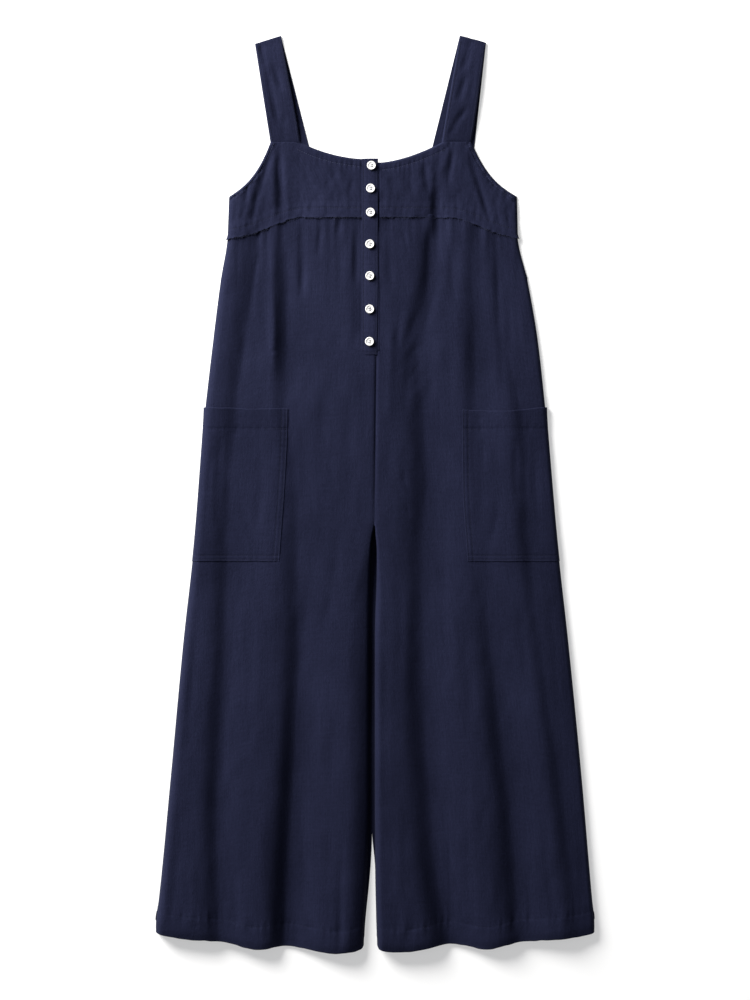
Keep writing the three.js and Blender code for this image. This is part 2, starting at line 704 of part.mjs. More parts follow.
// A patch pocket: the leg's own points moved out, carried round the side edge to the back.
function pocket(side) {
  const leg = frontLegGrid(side).filter((row, i) => {
    return legRows[i] <= POCKET_TOP_Y && legRows[i] >= POCKET_BOTTOM_Y;
  });
  const sign = SIGN[side];
  const mouth = (y, t) =>
    POCKET_GAPE * smooth(t * 2) * Math.exp(-(POCKET_TOP_Y - y) / 30);
  const hem = (y) => POCKET_HEM_RAISE * smooth((y - POCKET_TOP_Y + POCKET_HEM) / 6);
  const grid = leg.map((row) => {
    const onFront = row.slice(-fromSide.length - 1);
    const inner = onFront.map((p, k) => {
      const gape = mouth(p.at.y, k / (onFront.length - 1));
      return moved(p, SEAM_GAP + gape);
    });
    const rim = inner.at(-1).at;
    const under = [
      { out: 0, z: POCKET_CLOTH + 0.4, turn: 0 },
      { out: -0.1, z: POCKET_CLOTH + 0.08, turn: 45 },
      { out: -0.6, z: POCKET_CLOTH, turn: 90 },
      { out: -16, z: POCKET_CLOTH, turn: 90 },
      { out: -POCKET_BACK, z: POCKET_CLOTH, turn: 90 },
    ].map(({ out, z, turn }) => {
      const angle = THREE.MathUtils.degToRad(turn);
      return {
        at: new THREE.Vector3(rim.x + sign * out, rim.y, z),
        normal: new THREE.Vector3(sign * Math.cos(angle), 0, -Math.sin(angle)),
      };
    });
    return [...inner, ...under];
  });
  const outerFace = grid.map((row) =>
    row.map((p, j) => {
      const flat = j >= fromSide.length + 1;
      return moved(p, POCKET_CLOTH + (flat ? 0 : hem(p.at.y)));
    }),
  );
  return wall(outerFace, (i, j) => outerFace[i][j].at.distanceTo(grid[i][j].at));
}

// The over band of the button front: laid on the yokes and legs, arched over the lapped seam.
const overRaise = (y) =>
  (CLOTH + LAP_GAP) * smooth((SEAM_Y + 42 - y) / 20) * smooth((y - SEAM_Y + 32) / 24);

const bandHeight = (x, y) => frontLevel(x, y) + overRaise(y) + BAND_GAP + BAND_CLOTH;

// The front's height near the centre line, away from its free edges.
function frontLevel(x, y) {
  return frontHeight(x < -5 ? "right" : "left", x, Math.min(y, 468));
}

function band(left, right, top, end, rise, cloth) {
  const rows = sampled(top, end, 15, (y) => y);
  const columns = [0, 0.33, 0.67, 1];
  return wall(
    rows.map((y) =>
      columns.map((t) => {
        const x = lerp(left, right(y), t);
        return { at: new THREE.Vector3(x, y, rise(x, y)), normal: new THREE.Vector3(0, 0, 1) };
      }),
    ),
    () => cloth,
  );
}

const overBand = () =>
  band(
    BAND_LEFT,
    (y) => lerp(BAND_RIGHT, BAND_RIGHT - 1.8, clamp01((280 - y) / 80)),
    BAND_TOP_Y, BAND_END_Y, bandHeight, BAND_CLOTH,
  );
const underBand = () =>
  band(UNDER_LEFT, () => UNDER_RIGHT, BAND_TOP_Y - 6, SLIT_END_Y + 0.5, frontLevel, CLOTH);

function solidOf(geometry) {
  const bare = geometry.clone();
  bare.deleteAttribute("normal");
  bare.deleteAttribute("uv");
  const merged = mergeVertices(bare, 1e-4);
  return new wasm.Manifold(
    new wasm.Mesh({
      numProp: 3,
      vertProperties: new Float32Array(merged.attributes.position.array),
      triVerts: new Uint32Array(merged.index.array),
    }),
  );
}

function geometryOf(solid) {
  const mesh = solid.getMesh();
  const geometry = new THREE.BufferGeometry();
  geometry.setAttribute("position", new THREE.BufferAttribute(mesh.vertProperties, 3));
  geometry.setIndex(new THREE.BufferAttribute(mesh.triVerts, 1));
  return geometry;
}

// A four-hole button: a turned disc with a rounded rim and a sunk middle.
function buttonGeometry() {
  const profile = [
    [0, 0], [4.8, 0], [6.2, 0.6], [BUTTON_RADIUS, 1.4], [6.1, 2.3], [5.3, 2.5], [4.3, 2.0],
    [0, 1.7],
  ].map(([r, z]) => new THREE.Vector2(r, z));
  const disc = new THREE.LatheGeometry(profile, 18).rotateX(Math.PI / 2);
  let solid = solidOf(disc);
  for (const [i, j] of [[-1, -1], [-1, 1], [1, -1], [1, 1]]) {
    const drill = new THREE.CylinderGeometry(BUTTON_HOLE, BUTTON_HOLE, 8, 6).rotateX(Math.PI / 2);
    drill.translate(i * BUTTON_HOLE_OFFSET, j * BUTTON_HOLE_OFFSET, 1);
    solid = solid.subtract(solidOf(drill));
  }
  return geometryOf(solid);
}

const twill = { roughness: 0.9, metalness: 0 };
const cloth = new THREE.MeshStandardMaterial({ color: 0x1c1e3c, ...twill });
const strapCloth = new THREE.MeshStandardMaterial({ color: 0x1c1e3c, ...twill });
const shell = new THREE.MeshStandardMaterial({ color: 0xf2f1ec, roughness: 0.35, metalness: 0 });

const jumpsuit = new THREE.Group();

function add(name, geometry, material) {
  const mesh = new THREE.Mesh(geometry, material);
  mesh.name = name;
  jumpsuit.add(mesh);
  return mesh;
}

for (const side of ["right", "left"]) {
  add(`back_leg_${side}`, backLeg(side), cloth);
  add(`front_leg_${side}`, frontLeg(side), cloth);
  add(`front_yoke_${side}`, frontYoke(side), cloth);
  add(`pocket_${side}`, pocket(side), cloth);
  add(`strap_${side}`, strap(side), strapCloth);
}
add("back_yoke", backYoke(), cloth);
add("band_under", underBand(), cloth);
add("band_over", overBand(), cloth);

buttons.forEach(({ x, y }, i) => {
  const button = add(`button_${i + 1}`, buttonGeometry(), shell);
  const around = [0, 60, 120, 180, 240, 300].map((degrees) => {
    const turn = THREE.MathUtils.degToRad(degrees);
    return bandHeight(x + 5 * Math.cos(turn), y + 5 * Math.sin(turn));
  });
  button.position.set(x, y, Math.max(bandHeight(x, y), ...around) + SEAM_GAP);
});

export default jumpsuit;
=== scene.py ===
import bpy
import numpy as np
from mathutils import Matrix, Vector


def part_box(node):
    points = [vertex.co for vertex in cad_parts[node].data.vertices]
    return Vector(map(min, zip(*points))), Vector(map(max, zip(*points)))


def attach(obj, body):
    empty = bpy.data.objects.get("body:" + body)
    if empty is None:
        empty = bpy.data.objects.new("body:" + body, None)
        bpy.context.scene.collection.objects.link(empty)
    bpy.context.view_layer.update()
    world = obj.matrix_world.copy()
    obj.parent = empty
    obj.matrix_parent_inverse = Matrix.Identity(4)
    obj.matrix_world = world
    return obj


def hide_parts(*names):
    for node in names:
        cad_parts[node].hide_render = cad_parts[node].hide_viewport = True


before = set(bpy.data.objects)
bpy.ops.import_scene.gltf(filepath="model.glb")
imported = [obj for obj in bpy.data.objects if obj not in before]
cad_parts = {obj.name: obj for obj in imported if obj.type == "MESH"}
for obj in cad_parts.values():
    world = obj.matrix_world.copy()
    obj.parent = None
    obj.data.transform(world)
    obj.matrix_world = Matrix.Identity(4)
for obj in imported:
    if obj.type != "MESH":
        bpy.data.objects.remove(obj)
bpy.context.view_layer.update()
rng = np.random.default_rng(11)

# Sizes are in millimetres, and turned into metres when a mesh is made.
MM = 0.001
PIXEL = 1.45  # millimetres that one photo pixel shows
VIEW_CENTRE = (-0.7, -8.7)
CAMERA_HEIGHT = 3500.0
FILM = 36.0
PHOTO_HEIGHT = 1000
PHOTO_MIDDLE = (375.5, 494)  # the pixel that shows the frame's origin

# The camera looks straight down on the garment, its picture's up towards the shoulders.
camera_data = bpy.data.cameras.new("camera")
camera = bpy.data.objects.new("camera", camera_data)
bpy.context.scene.collection.objects.link(camera)
camera.location = (VIEW_CENTRE[0] * MM, VIEW_CENTRE[1] * MM, CAMERA_HEIGHT * MM)
camera.rotation_euler = (0, 0, 0)
camera_data.sensor_fit = "VERTICAL"
camera_data.sensor_height = FILM
camera_data.lens = FILM * CAMERA_HEIGHT / (PHOTO_HEIGHT * PIXEL)
camera_data.clip_end = 30
bpy.context.scene.camera = camera

# The part's own measures
SOLID_CLOTH = 1.2
SEAM_GAP = 0.3
SLACK = 0.5
SEAM_Y, SEAM_FALL = 403.3, 31.5
BACK_SEAM_Y, BACK_SEAM_FALL = 400.0, 30.5
STRAP_SEAM_Y, BACK_STRAP_Y, BACK_NECK_Y = 509.5, 497.0, 474.0
ARMPIT_Y, CROTCH_Y, HEM_Y = 431.0, -48.0, -646.0
HEM_DEPTH, POCKET_HEM = 32.0, 30.0
HALF_WIDTH = 318  # from the middle to the side at the hem
POCKET_TOP_Y, POCKET_BOTTOM_Y, POCKET_BACK = 125.0, -97.0, 48.0
POCKET_LIFT, LIFT_RAMP = 1.3, 36.0
SLIT_END_Y = 206.0
BAND_TOP_Y, BAND_END_Y = 485.4, 200.7
BAND_LEFT, BAND_RIGHT = -19.3, 3.6
UNDER_LEFT, UNDER_RIGHT = -15.5, 6.2
BUTTONS = [
    (-5.8, 475.2), (-7.0, 442.0), (-7.1, 406.9), (-8.1, 361.1), (-8.1, 315.1), (-8.3, 267.0), (-8.6, 220.1),
]

# How far inside their edges the stitched lines run
NECK_STITCH, ARM_STITCH, YOKE_STITCH, BAND_STITCH = 11.6, 5.2, 11.0, 2.2
POCKET_LINES = (2.0, 8.2)
BAND_BARS = (BAND_END_Y + 3, BAND_END_Y + 13, BAND_TOP_Y - 3)

# What the eye sees: thin cloth, and the heights that the layers lie at
CLOTH = 0.75
FLOOR_GAP = 0.12
BACK_TOP = FLOOR_GAP + CLOTH

SIGN = {"right": -1.0, "left": 1.0}
SIDE = {  # height and distance of the side edge from the centre line
    "right": [
        (432, 212), (374, 214), (310, 224), (223, 235), (107, 248), (-67, 262), (-212, 278), (-415, 297),
        (-589, 314), (-618, 318), (-650, 318.5),
    ],
    "left": [
        (432, 205), (374, 206), (310, 220), (223, 235), (107, 247.5), (-67, 263), (-212, 279), (-415, 299),
        (-589, 314), (-618, 317), (-650, 317.5),
    ],
}
INSEAM = {
    "right": [
        (-48, -1.6), (-62, -4.8), (-78, -6.8), (-100, -7.5), (-212, -8.2), (-444, -8.6), (-560, -12.3),
        (-650, -16.8),
    ],
    "left": [
        (-48, -1.3), (-62, -0.3), (-78, 1.6), (-100, 1.6), (-212, -1.2), (-444, -1.2), (-560, 0.0),
        (-650, 2.3),
    ],
}
CENTRE_SEAM = [(206, 1.25), (-48, -1.45)]
# How high the front stands off the back between the folds, at each height
LOFT = [(665, 1.5), (510, 2.5), (430, 4.5), (370, 7), (200, 10), (0, 11), (-200, 13), (-450, 16), (-660, 19)]
# Upright folds: the widths of a fold's two banks, the share of the first that it has on the body, and its
# rows of height, place of the trough and share of the loft that it takes
FOLDS = {
    "right_inner": (19, 46, 0.88, [
        (505, -137, .5), (440, -136, .65), (392, -131, .8), (300, -128, .9), (200, -127, .85),
        (125, -126, .45), (0, -112, .4), (-215, -110, .65), (-410, -118, .8), (-560, -127, .9),
        (-660, -131, .92),
    ]),
    "right_outer": (17, 36, 0.95, [
        (483, -154, .4), (406, -164, .55), (290, -178, .6), (225, -187, .6), (160, -197, .55),
        (-60, -212, .5), (-215, -216, .5), (-455, -228, .5), (-650, -224, .45),
    ]),
    "left_inner": (24, 44, 0.75, [
        (484, 116, .3), (404, 88, .75), (306, 80, .75), (223, 63, .6), (140, 70, .65), (20, 76, .7),
        (-67, 70, .67), (-250, 70, .7), (-444, 81, .76), (-545, 89, .83), (-660, 112, .9),
    ]),
    "left_outer": (20, 40, 0.75, [
        (470, 146, .35), (397, 145, .65), (200, 146, .7), (125, 146, .45), (-60, 150, .15),
        (-215, 168, .45), (-365, 185, .6), (-480, 199, .6), (-650, 210, .5),
    ]),
    "left_side": (15, 28, 0.8, [
        (430, 168, .3), (368, 177, .4), (200, 194, .4), (90, 217, .45), (-35, 220, .45), (-150, 231, .2),
        (-410, 268, .35), (-640, 296, .15),
    ]),
    "beside_band": (15, 12, 0.65, [
        (410, -24, .1), (300, -24, .25), (240, -24, .25), (209, -24, 0),
    ]),
}
# Where the hem hangs lower: place, width and drop
HEM_DIPS = [(-173, 36, 10.5), (-58, 66, 17.5), (35, 60, 15.5), (159, 37, 11)]
# Each end of a strap, as its outer and its inner corner
STRAPS = {
    "right": dict(
        front=((-152.3, STRAP_SEAM_Y), (-108.2, STRAP_SEAM_Y)), fold=((-174.2, 650.6), (-136.9, 662.6)),
        back=((-150, BACK_STRAP_Y), (-94.7, BACK_STRAP_Y)),
    ),
    "left": dict(
        front=((139.6, STRAP_SEAM_Y), (95.8, STRAP_SEAM_Y)), fold=((159.8, 652.4), (122.1, 662.6)),
        back=((142.5, BACK_STRAP_Y), (81.2, BACK_STRAP_Y)),
    ),
}
# Height of the neckline in the middle, and the power of its curve
NECK = {"right": (485, 2.2), "left": (480, 1.7)}

# Smaller creases: from and to in photo pixels, half width and depth in millimetres (a
# negative depth is a ridge), and how far the crease's middle stands off its straight line, in pixels
CREASES = [
    # right body and leg (photo left)
    (262, 240, 250, 330, 5, .9, 2), (302, 216, 303, 304, 6, 2.2, 0), (322, 222, 318, 262, 4, .8, 1),
    (338, 216, 335, 264, 5, 1.3, 0), (345, 230, 340, 300, 7, .7, 2), (357, 216, 356, 294, 4.5, 1.6, 0),
    (246, 330, 238, 396, 6, .7, -1), (300, 330, 296, 400, 8, .7, 2), (330, 370, 322, 470, 9, .8, 3),
    (352, 380, 350, 520, 8, .6, 2), (340, 500, 322, 640, 9, .9, -4), (312, 560, 300, 700, 9, .8, 3),
    (250, 590, 246, 760, 9, .9, -3), (232, 640, 222, 800, 7, .9, 2), (196, 600, 186, 760, 7, .8, -2),
    (336, 700, 330, 880, 10, .8, 3), (342, 850, 341, 956, 6, 1.8, 1), (300, 760, 303, 930, 8, .8, -2),
    (262, 800, 268, 936, 9, -.9, 2), (182, 800, 174, 930, 8, .8, 1), (232, 860, 236, 940, 7, .8, -2),
    (196, 850, 192, 936, 7, -.7, 1), (320, 860, 322, 950, 9, -.7, 2),
    # left body and leg (photo right)
    (390, 226, 392, 300, 5, .8, 1), (402, 228, 408, 262, 4, .7, -1), (412, 370, 422, 378, 3.5, .5, 1),
    (406, 386, 424, 362, 5, .5, -1), (443, 176, 413, 396, 11, 2.3, -3), (273, 214, 274.5, 388, 7, -2.7, 0),
    (287, 232, 287, 392, 8, .9, 0), (430, 222, 426, 296, 6, 1.5, 0), (432, 318, 428, 416, 10, 1.1, 0),
    (411, 338, 403, 424, 8, 1.2, 0), (391, 318, 389, 430, 7, -1.3, 0), (446, 262, 424, 336, 6, .6, 2),
    (426, 296, 401, 362, 6, .7, 2), (422, 342, 394, 376, 5.5, .5, 1), (404, 300, 396, 352, 5, .6, 1),
    (434, 366, 404, 398, 6, .5, 1), (402, 470, 412, 500, 4, .8, 1), (396, 486, 410, 520, 4, .7, -2),
    (452, 230, 456, 320, 6, .7, 2), (497, 236, 505, 412, 6, 1.3, 2), (500, 250, 512, 360, 6, .9, -2),
    (512, 270, 526, 380, 6, .6, 2), (448, 330, 446, 470, 8, .7, -2), (440, 520, 452, 680, 9, .8, 3),
    (400, 560, 396, 700, 8, .7, -2), (388, 640, 386, 820, 7, .6, 2), (460, 600, 470, 740, 9, .8, -3),
    (520, 600, 530, 700, 8, .8, 2), (546, 580, 560, 740, 7, .8, -2), (466, 760, 474, 930, 8, .9, 3),
    (400, 780, 402, 930, 8, -.6, 2), (446, 820, 452, 936, 6, .9, -2), (542, 800, 556, 930, 7, .8, 2),
    (576, 800, 586, 920, 6, .6, -1), (492, 860, 496, 940, 7, -.7, 1), (528, 860, 534, 934, 6, .7, 1),
    # yoke
    (280, 132, 282, 232, 6.5, 2.9, 1), (276, 138, 247, 238, 5, 2.0, 1), (300, 150, 301, 230, 14, 1.9, 0),
    (274, 158, 275, 238, 9, -1.7, 0), (249, 178, 240, 226, 4, 1.2, -1), (312, 160, 348, 210, 8, 1.2, 3),
    (303, 166, 326, 206, 5, .8, 3), (330, 165, 345, 206, 5, .8, -2), (437, 152, 437, 224, 6, 2.2, 1),
    (455, 144, 448, 190, 4.5, 1.7, 1), (392, 172, 394, 214, 5, .7, 1), (468, 150, 491, 224, 4.5, 2.2, 0),
    (424, 156, 430, 200, 5, 1.6, 1), (494, 192, 502, 232, 4, .9, 1), (240, 190, 234, 232, 4, .9, 1),
    (412, 165, 410, 200, 6, .8, 1), (258, 184, 254, 228, 3.5, .8, 1), (293, 190, 294, 218, 3.5, .6, 0),
    (312, 196, 312, 218, 3, .6, 0), (352, 176, 350, 216, 4, .7, 1), (456, 188, 458, 220, 4, .7, 0),
    (506, 204, 512, 236, 3.5, .7, 0),
    # pockets
    (223, 424, 218, 534, 5, 1.1, 2), (262, 440, 256, 540, 6, .8, -2), (240, 500, 262, 552, 5, .7, 2),
    (212, 450, 206, 540, 4, .6, 1), (240, 414, 236, 440, 4, .7, 0), (516, 430, 518, 518, 5, 1.1, 2),
    (484, 430, 482, 520, 6, .7, 1), (500, 470, 490, 550, 5, .7, -2), (534, 440, 540, 540, 5, .8, 1),
    (478, 412, 482, 436, 4, .7, 0), (530, 414, 528, 436, 4, .6, 0),
]
# The same kind on the hidden back, in millimetres of the part's own frame
BACK_CREASES = [
    (-60, 350, -40, 180, 10, .5, 5), (-150, 330, -170, 120, 12, .6, -6), (-100, 60, -120, -140, 12, .5, 5),
    (-40, -20, -60, -260, 10, .6, 6), (-180, -180, -200, -420, 14, .6, -8),
    (-90, -300, -80, -600, 14, .6, 6), (-240, -300, -262, -600, 12, .5, 5), (50, 360, 60, 200, 10, .5, -5),
    (140, 320, 160, 90, 12, .6, 6), (90, 40, 110, -150, 12, .5, -5), (40, -60, 60, -280, 10, .6, -6),
    (170, -160, 190, -430, 14, .6, 8), (80, -300, 100, -610, 14, .6, -6),
    (240, -280, 258, -590, 12, .5, -5), (-30, 440, -90, 400, 8, .4, 3), (60, 450, 110, 395, 8, .4, -3),
    (-150, 460, -170, 400, 7, .4, 2), (150, 455, 165, 395, 7, .4, -2),
]


def clamp(v):
    """v kept between 0 and 1."""
    return np.clip(v, 0.0, 1.0)


def smooth(v):
    """0 before 0, 1 after 1, and 3t^2 - 2t^3 between."""
    return clamp(v) ** 2 * (3 - 2 * clamp(v))


def bell(v):
    """exp(-v^2): 1 at 0, falling off to both sides."""
    return np.exp(-(v**2))


def unit(v):
    """Each vector of the last axis, made one long."""
    return v / np.maximum(np.linalg.norm(v, axis=-1, keepdims=True), 1e-9)


def mix(a, b, t):
    """a at t = 0, b at t = 1, and straight between them."""
    return a + (b - a) * t


def read(rows, y, column=1):
    """A table's column at y: a monotone cubic, its slope at a row the harmonic mean of those beside it."""
    table = np.array(rows, float)[::-1]
    ys, vs = table[:, 0], table[:, column]
    y = np.clip(np.asarray(y, float), ys[0], ys[-1])
    slope = np.diff(vs) / np.diff(ys)
    tangent = np.concatenate([slope[:1], np.zeros(len(slope) - 1), slope[-1:]])
    product = slope[:-1] * slope[1:]
    same = product > 0
    tangent[1:-1][same] = 2 * product[same] / (slope[:-1] + slope[1:])[same]
    i = np.clip(np.searchsorted(ys, y, "right") - 1, 0, len(ys) - 2)
    span = ys[i + 1] - ys[i]
    t = (y - ys[i]) / span
    return (
        (2 * t**3 - 3 * t**2 + 1) * vs[i] + (t**3 - 2 * t**2 + t) * span * tangent[i]
        + (3 * t**2 - 2 * t**3) * vs[i + 1] + (t**3 - t**2) * span * tangent[i + 1]
    )


def noise(x, y, wide, tall, seed):
    """Smooth heights from -1 to 1: random lattice values eased into each other, in cells of wide by tall."""
    table = np.random.default_rng(seed).uniform(-1, 1, (64, 64))
    gx, gy = np.asarray(x) / wide + 100.37, np.asarray(y) / tall + 100.71
    i, j = np.floor(gx).astype(int), np.floor(gy).astype(int)
    u, v = smooth(gx - i), smooth(gy - j)
    at = lambda a, b: table[a % 64, b % 64]
    return mix(mix(at(i, j), at(i + 1, j), u), mix(at(i, j + 1), at(i + 1, j + 1), u), v)


def side_x(side, y):
    """The side edge, read from its table."""
    return SIGN[side] * read(SIDE[side], y)


def seam_y(x):
    """The seam under the bust, which falls towards the sides."""
    return SEAM_Y - SEAM_FALL * smooth((np.abs(x) - 102) / 112)


def back_seam_y(x):
    """The same seam on the back."""
    return BACK_SEAM_Y - BACK_SEAM_FALL * smooth((np.abs(x) - 85) / 130)


def inner_x(side, y):
    """The inner edge of a front panel: beside the button bands, then the centre seam, then the inseam."""
    y = np.asarray(y, float)
    beside = UNDER_LEFT - 0.1 if side == "right" else UNDER_RIGHT + 0.1
    down = (SLIT_END_Y - y) / (SLIT_END_Y - CROTCH_Y)
    seam = mix(CENTRE_SEAM[0][1], CENTRE_SEAM[1][1], down) + SIGN[side] * 0.04
    return np.where(y > SLIT_END_Y, beside, np.where(y < CROTCH_Y, read(INSEAM[side], y), seam))


def neck_y(side, x):
    """The neckline: its low point plus a power of the distance from the middle."""
    low, power = NECK[side]
    reach = abs(STRAPS[side]["front"][1][0])
    return low + (STRAP_SEAM_Y - low) * np.minimum(1, np.abs(x) / reach) ** power


def scoop(t):
    """An armhole's fall from 1 at its strap to 0 at the armpit: half of it a cube, half of it straight."""
    return 0.5 * (1 - clamp(t)) ** 3 + 0.5 * (1 - clamp(t))


def armhole_y(side, x):
    """The armhole, from the strap's outer corner down to the armpit."""
    start, end = abs(STRAPS[side]["front"][0][0]), abs(float(side_x(side, ARMPIT_Y)))
    return ARMPIT_Y + (STRAP_SEAM_Y - ARMPIT_Y) * scoop((np.abs(x) - start) / (end - start))


def yoke_top_y(side, x):
    """The upper edge of a front yoke: neckline, strap seam, armhole."""
    outer, inner = (abs(p[0]) for p in STRAPS[side]["front"])
    across = np.abs(x)
    beyond = np.where(across <= outer, STRAP_SEAM_Y, armhole_y(side, x))
    return np.where(across < inner, neck_y(side, x), beyond)


def front_hem_y(x):
    """The front hem: rounded off at both ends, lower at its dips, its corner at the inseam rounded."""
    ends = 12 * (np.abs(x) / HALF_WIDTH) ** 8
    dips = 0
    for at, width, drop in HEM_DIPS:
        dips = dips + drop * bell((x - at) / width) * ((x < -7) == (at < 0))
    inseam = np.where(x < -7, inner_x("right", HEM_Y), inner_x("left", HEM_Y))
    return HEM_Y + ends - dips + 5 * clamp(1 - np.abs(x - inseam) / 4) ** 2


def back_hem_y(x):
    """The back hem, a little higher than the front one and rounded off at both ends."""
    return HEM_Y + 4 + 12 * (np.abs(x) / HALF_WIDTH) ** 6


def distance(line, x, y):
    """Plan distance to the nearest piece of a line of points."""
    a, d = line[:-1], np.diff(line, axis=0)
    px, py = np.asarray(x)[..., None] - a[:, 0], np.asarray(y)[..., None] - a[:, 1]
    t = clamp((px * d[:, 0] + py * d[:, 1]) / (d**2).sum(1))
    return np.hypot(px - t * d[:, 0], py - t * d[:, 1]).min(-1)


def edge_lines(side):
    """The free edges of a front half as lines of plan points."""
    sign, (outer, inner) = SIGN[side], STRAPS[side]["front"]
    fold_outer, fold_inner = STRAPS[side]["fold"]
    low = HEM_Y - 44  # below the hem, so that the lines end outside the cloth
    down, legs = np.linspace(low, ARMPIT_Y, 64), np.linspace(low, CROTCH_Y, 60)
    neck = np.linspace(-sign * 20, inner[0], 16)
    arm = np.linspace(outer[0], float(side_x(side, ARMPIT_Y)), 24)
    return {
        "side": np.stack([side_x(side, down), down], 1),
        "inseam": np.stack([inner_x(side, legs), legs], 1),
        "neck": np.vstack([np.stack([neck, neck_y(side, neck * (neck * sign >= 0))], 1), fold_inner]),
        "arm": np.vstack([fold_outer, np.stack([arm, armhole_y(side, arm)], 1)]),
    }


EDGES = {side: edge_lines(side) for side in SIGN}
EDGE_RADIUS = {
    "right": dict(side=12, inseam=5, neck=3.5, arm=4),
    "left": dict(side=5, inseam=8, neck=3.5, arm=4),
}


def lift(x, y):
    """How far the back cloth is raised by the part of a pocket that lies under it."""
    side_at = np.where(x < 0, read(SIDE["right"], y), read(SIDE["left"], y))
    across = smooth((POCKET_BACK + 2 + LIFT_RAMP - (side_at - np.abs(x))) / LIFT_RAMP)
    above = smooth((POCKET_TOP_Y + LIFT_RAMP - y) / LIFT_RAMP)
    below = smooth((y - POCKET_BOTTOM_Y + LIFT_RAMP) / LIFT_RAMP)
    return POCKET_LIFT * across * above * below


def crease(rows, x, y, photo=True):
    """The sum of soft troughs: each falls off as a bell to its sides and fades at its ends."""
    total = np.zeros(np.shape(x))
    for k, (x0, y0, x1, y1, wide, deep, bow) in enumerate(rows):
        if photo:
            x0, x1 = ((v - PHOTO_MIDDLE[0]) * PIXEL for v in (x0, x1))
            y0, y1 = ((PHOTO_MIDDLE[1] - v) * PIXEL for v in (y0, y1))
            bow = bow * PIXEL
        dx, dy = x1 - x0, y1 - y0
        length = np.hypot(dx, dy)
        t = ((x - x0) * dx + (y - y0) * dy) / length**2
        off = ((x - x0) * dy - (y - y0) * dx) / length - bow * 4 * clamp(t) * (1 - clamp(t))
        uneven = 1 + 0.35 * np.sin(7 * t + 2.1 * k)
        total -= deep * bell(off / wide) * smooth(t / 0.3) * smooth((1 - t) / 0.3) * uneven
    return total


def line_stitch(away, along, deep=0.55, width=1.5, pucker=0.28, period=8.0, seed=3):
    """A row of machine stitches: a narrow trough, and small ripples square to it that fade to both sides."""
    phase = 2 * np.pi * along / period + 2.5 * noise(along, along * 0, 30, 30, seed)
    ripple = np.sin(phase) * (0.6 + 0.4 * noise(along, along * 0 + 9, 22, 22, seed + 1))
    puckers = pucker * (0.5 + 0.5 * ripple) * bell(away / 7.0)
    return -deep * bell(away / width) - puckers


def folded(side, x, y):
    """Height of the front's outer face as the solids have it: the loft less the folds, rounded down at free
    edges. On the straps the edges are rounded less, so that they stand clear of the strap below."""
    loft = read(LOFT, y)
    low = smooth((60 - y) / 300)
    for steep, gentle, on_body, rows in FOLDS.values():
        sharp, slow = mix(on_body, 0.88, low), mix(1.35, 1, low)
        off = x - read(rows, y)
        bank = np.where(off < 0, steep * sharp, gentle * slow)
        loft = loft * (1 - read(rows, y, 2) * bell(off / bank))
    rise = SOLID_CLOTH + SLACK + loft
    rounded = 1.0
    for name, line in EDGES[side].items():
        growth = mix(0.3, 1, smooth((CROTCH_Y - 12 - y) / 120)) if name == "inseam" else 1.0
        radius = np.minimum(EDGE_RADIUS[side][name] * growth, rise**2 / 1.6)
        radius = mix(radius, 1.5, smooth((y - STRAP_SEAM_Y - 3) / 22))
        rounded = rounded * np.sqrt(1 - (1 - clamp(distance(line, x, y) / radius)) ** 2)
    if side == "right":
        reach = mix(12, 32, smooth((-80 - y) / 90))
        share = mix(0.12, 0.5, smooth((-60 - y) / 110)) + 0.18 * smooth((-200 - y) / 150)
        rounded = rounded * (1 - share * (1 - clamp(distance(EDGES[side]["inseam"], x, y) / reach)) ** 2)
    else:
        share = 0.5 * smooth((400 - y) / 80)
        rounded = rounded * (1 - share * (1 - clamp(distance(EDGES[side]["side"], x, y) / 60)) ** 2)
    base = BACK_TOP + lift(x, y)
    top = SOLID_CLOTH + lift(x, y) + SEAM_GAP + rise
    return base + (top - base) * rounded, rounded


def front_z(side, x, y):
    """The folded height with the small creases, the slight unevenness of worn cloth and the seam's dip."""
    z, rounded = folded(side, x, y)
    soft = 0.55 * noise(x, y, 24, 120, 5) + 0.5 * noise(x, y, 46, 210, 6) + 0.3 * noise(x, y, 12, 24, 7)
    seam = np.abs(x - inner_x(side, y))
    dip = -0.9 * bell(seam / 2.6) - 0.8 * bell(seam / 1.2) * smooth((y + 40) / 120)
    dip = dip * smooth((y - CROTCH_Y + 10) / 20) * smooth((SLIT_END_Y + 2 - y) / 4)
    beside = -0.7 * bell((x - BAND_LEFT + 0.6) / 1.3)
    beside = beside * smooth((y - BAND_END_Y) / 3) * (y < STRAP_SEAM_Y)
    return z + rounded * (soft + crease(CREASES, x, y) + dip + beside)


def lengths(grid):
    """Distances along rows and columns of a grid, which are the cloth's own coordinates."""
    across = np.linalg.norm(np.diff(grid, axis=1), axis=2)
    down = np.linalg.norm(np.diff(grid, axis=0), axis=2)
    u = np.concatenate([np.zeros((len(grid), 1)), np.cumsum(across, 1)], 1)
    v = np.concatenate([np.zeros((1, grid.shape[1])), np.cumsum(down, 0)], 0)
    return u, v


def normals(grid):
    """The normal at each point of a grid."""
    return unit(np.cross(np.gradient(grid, axis=1), np.gradient(grid, axis=0)))


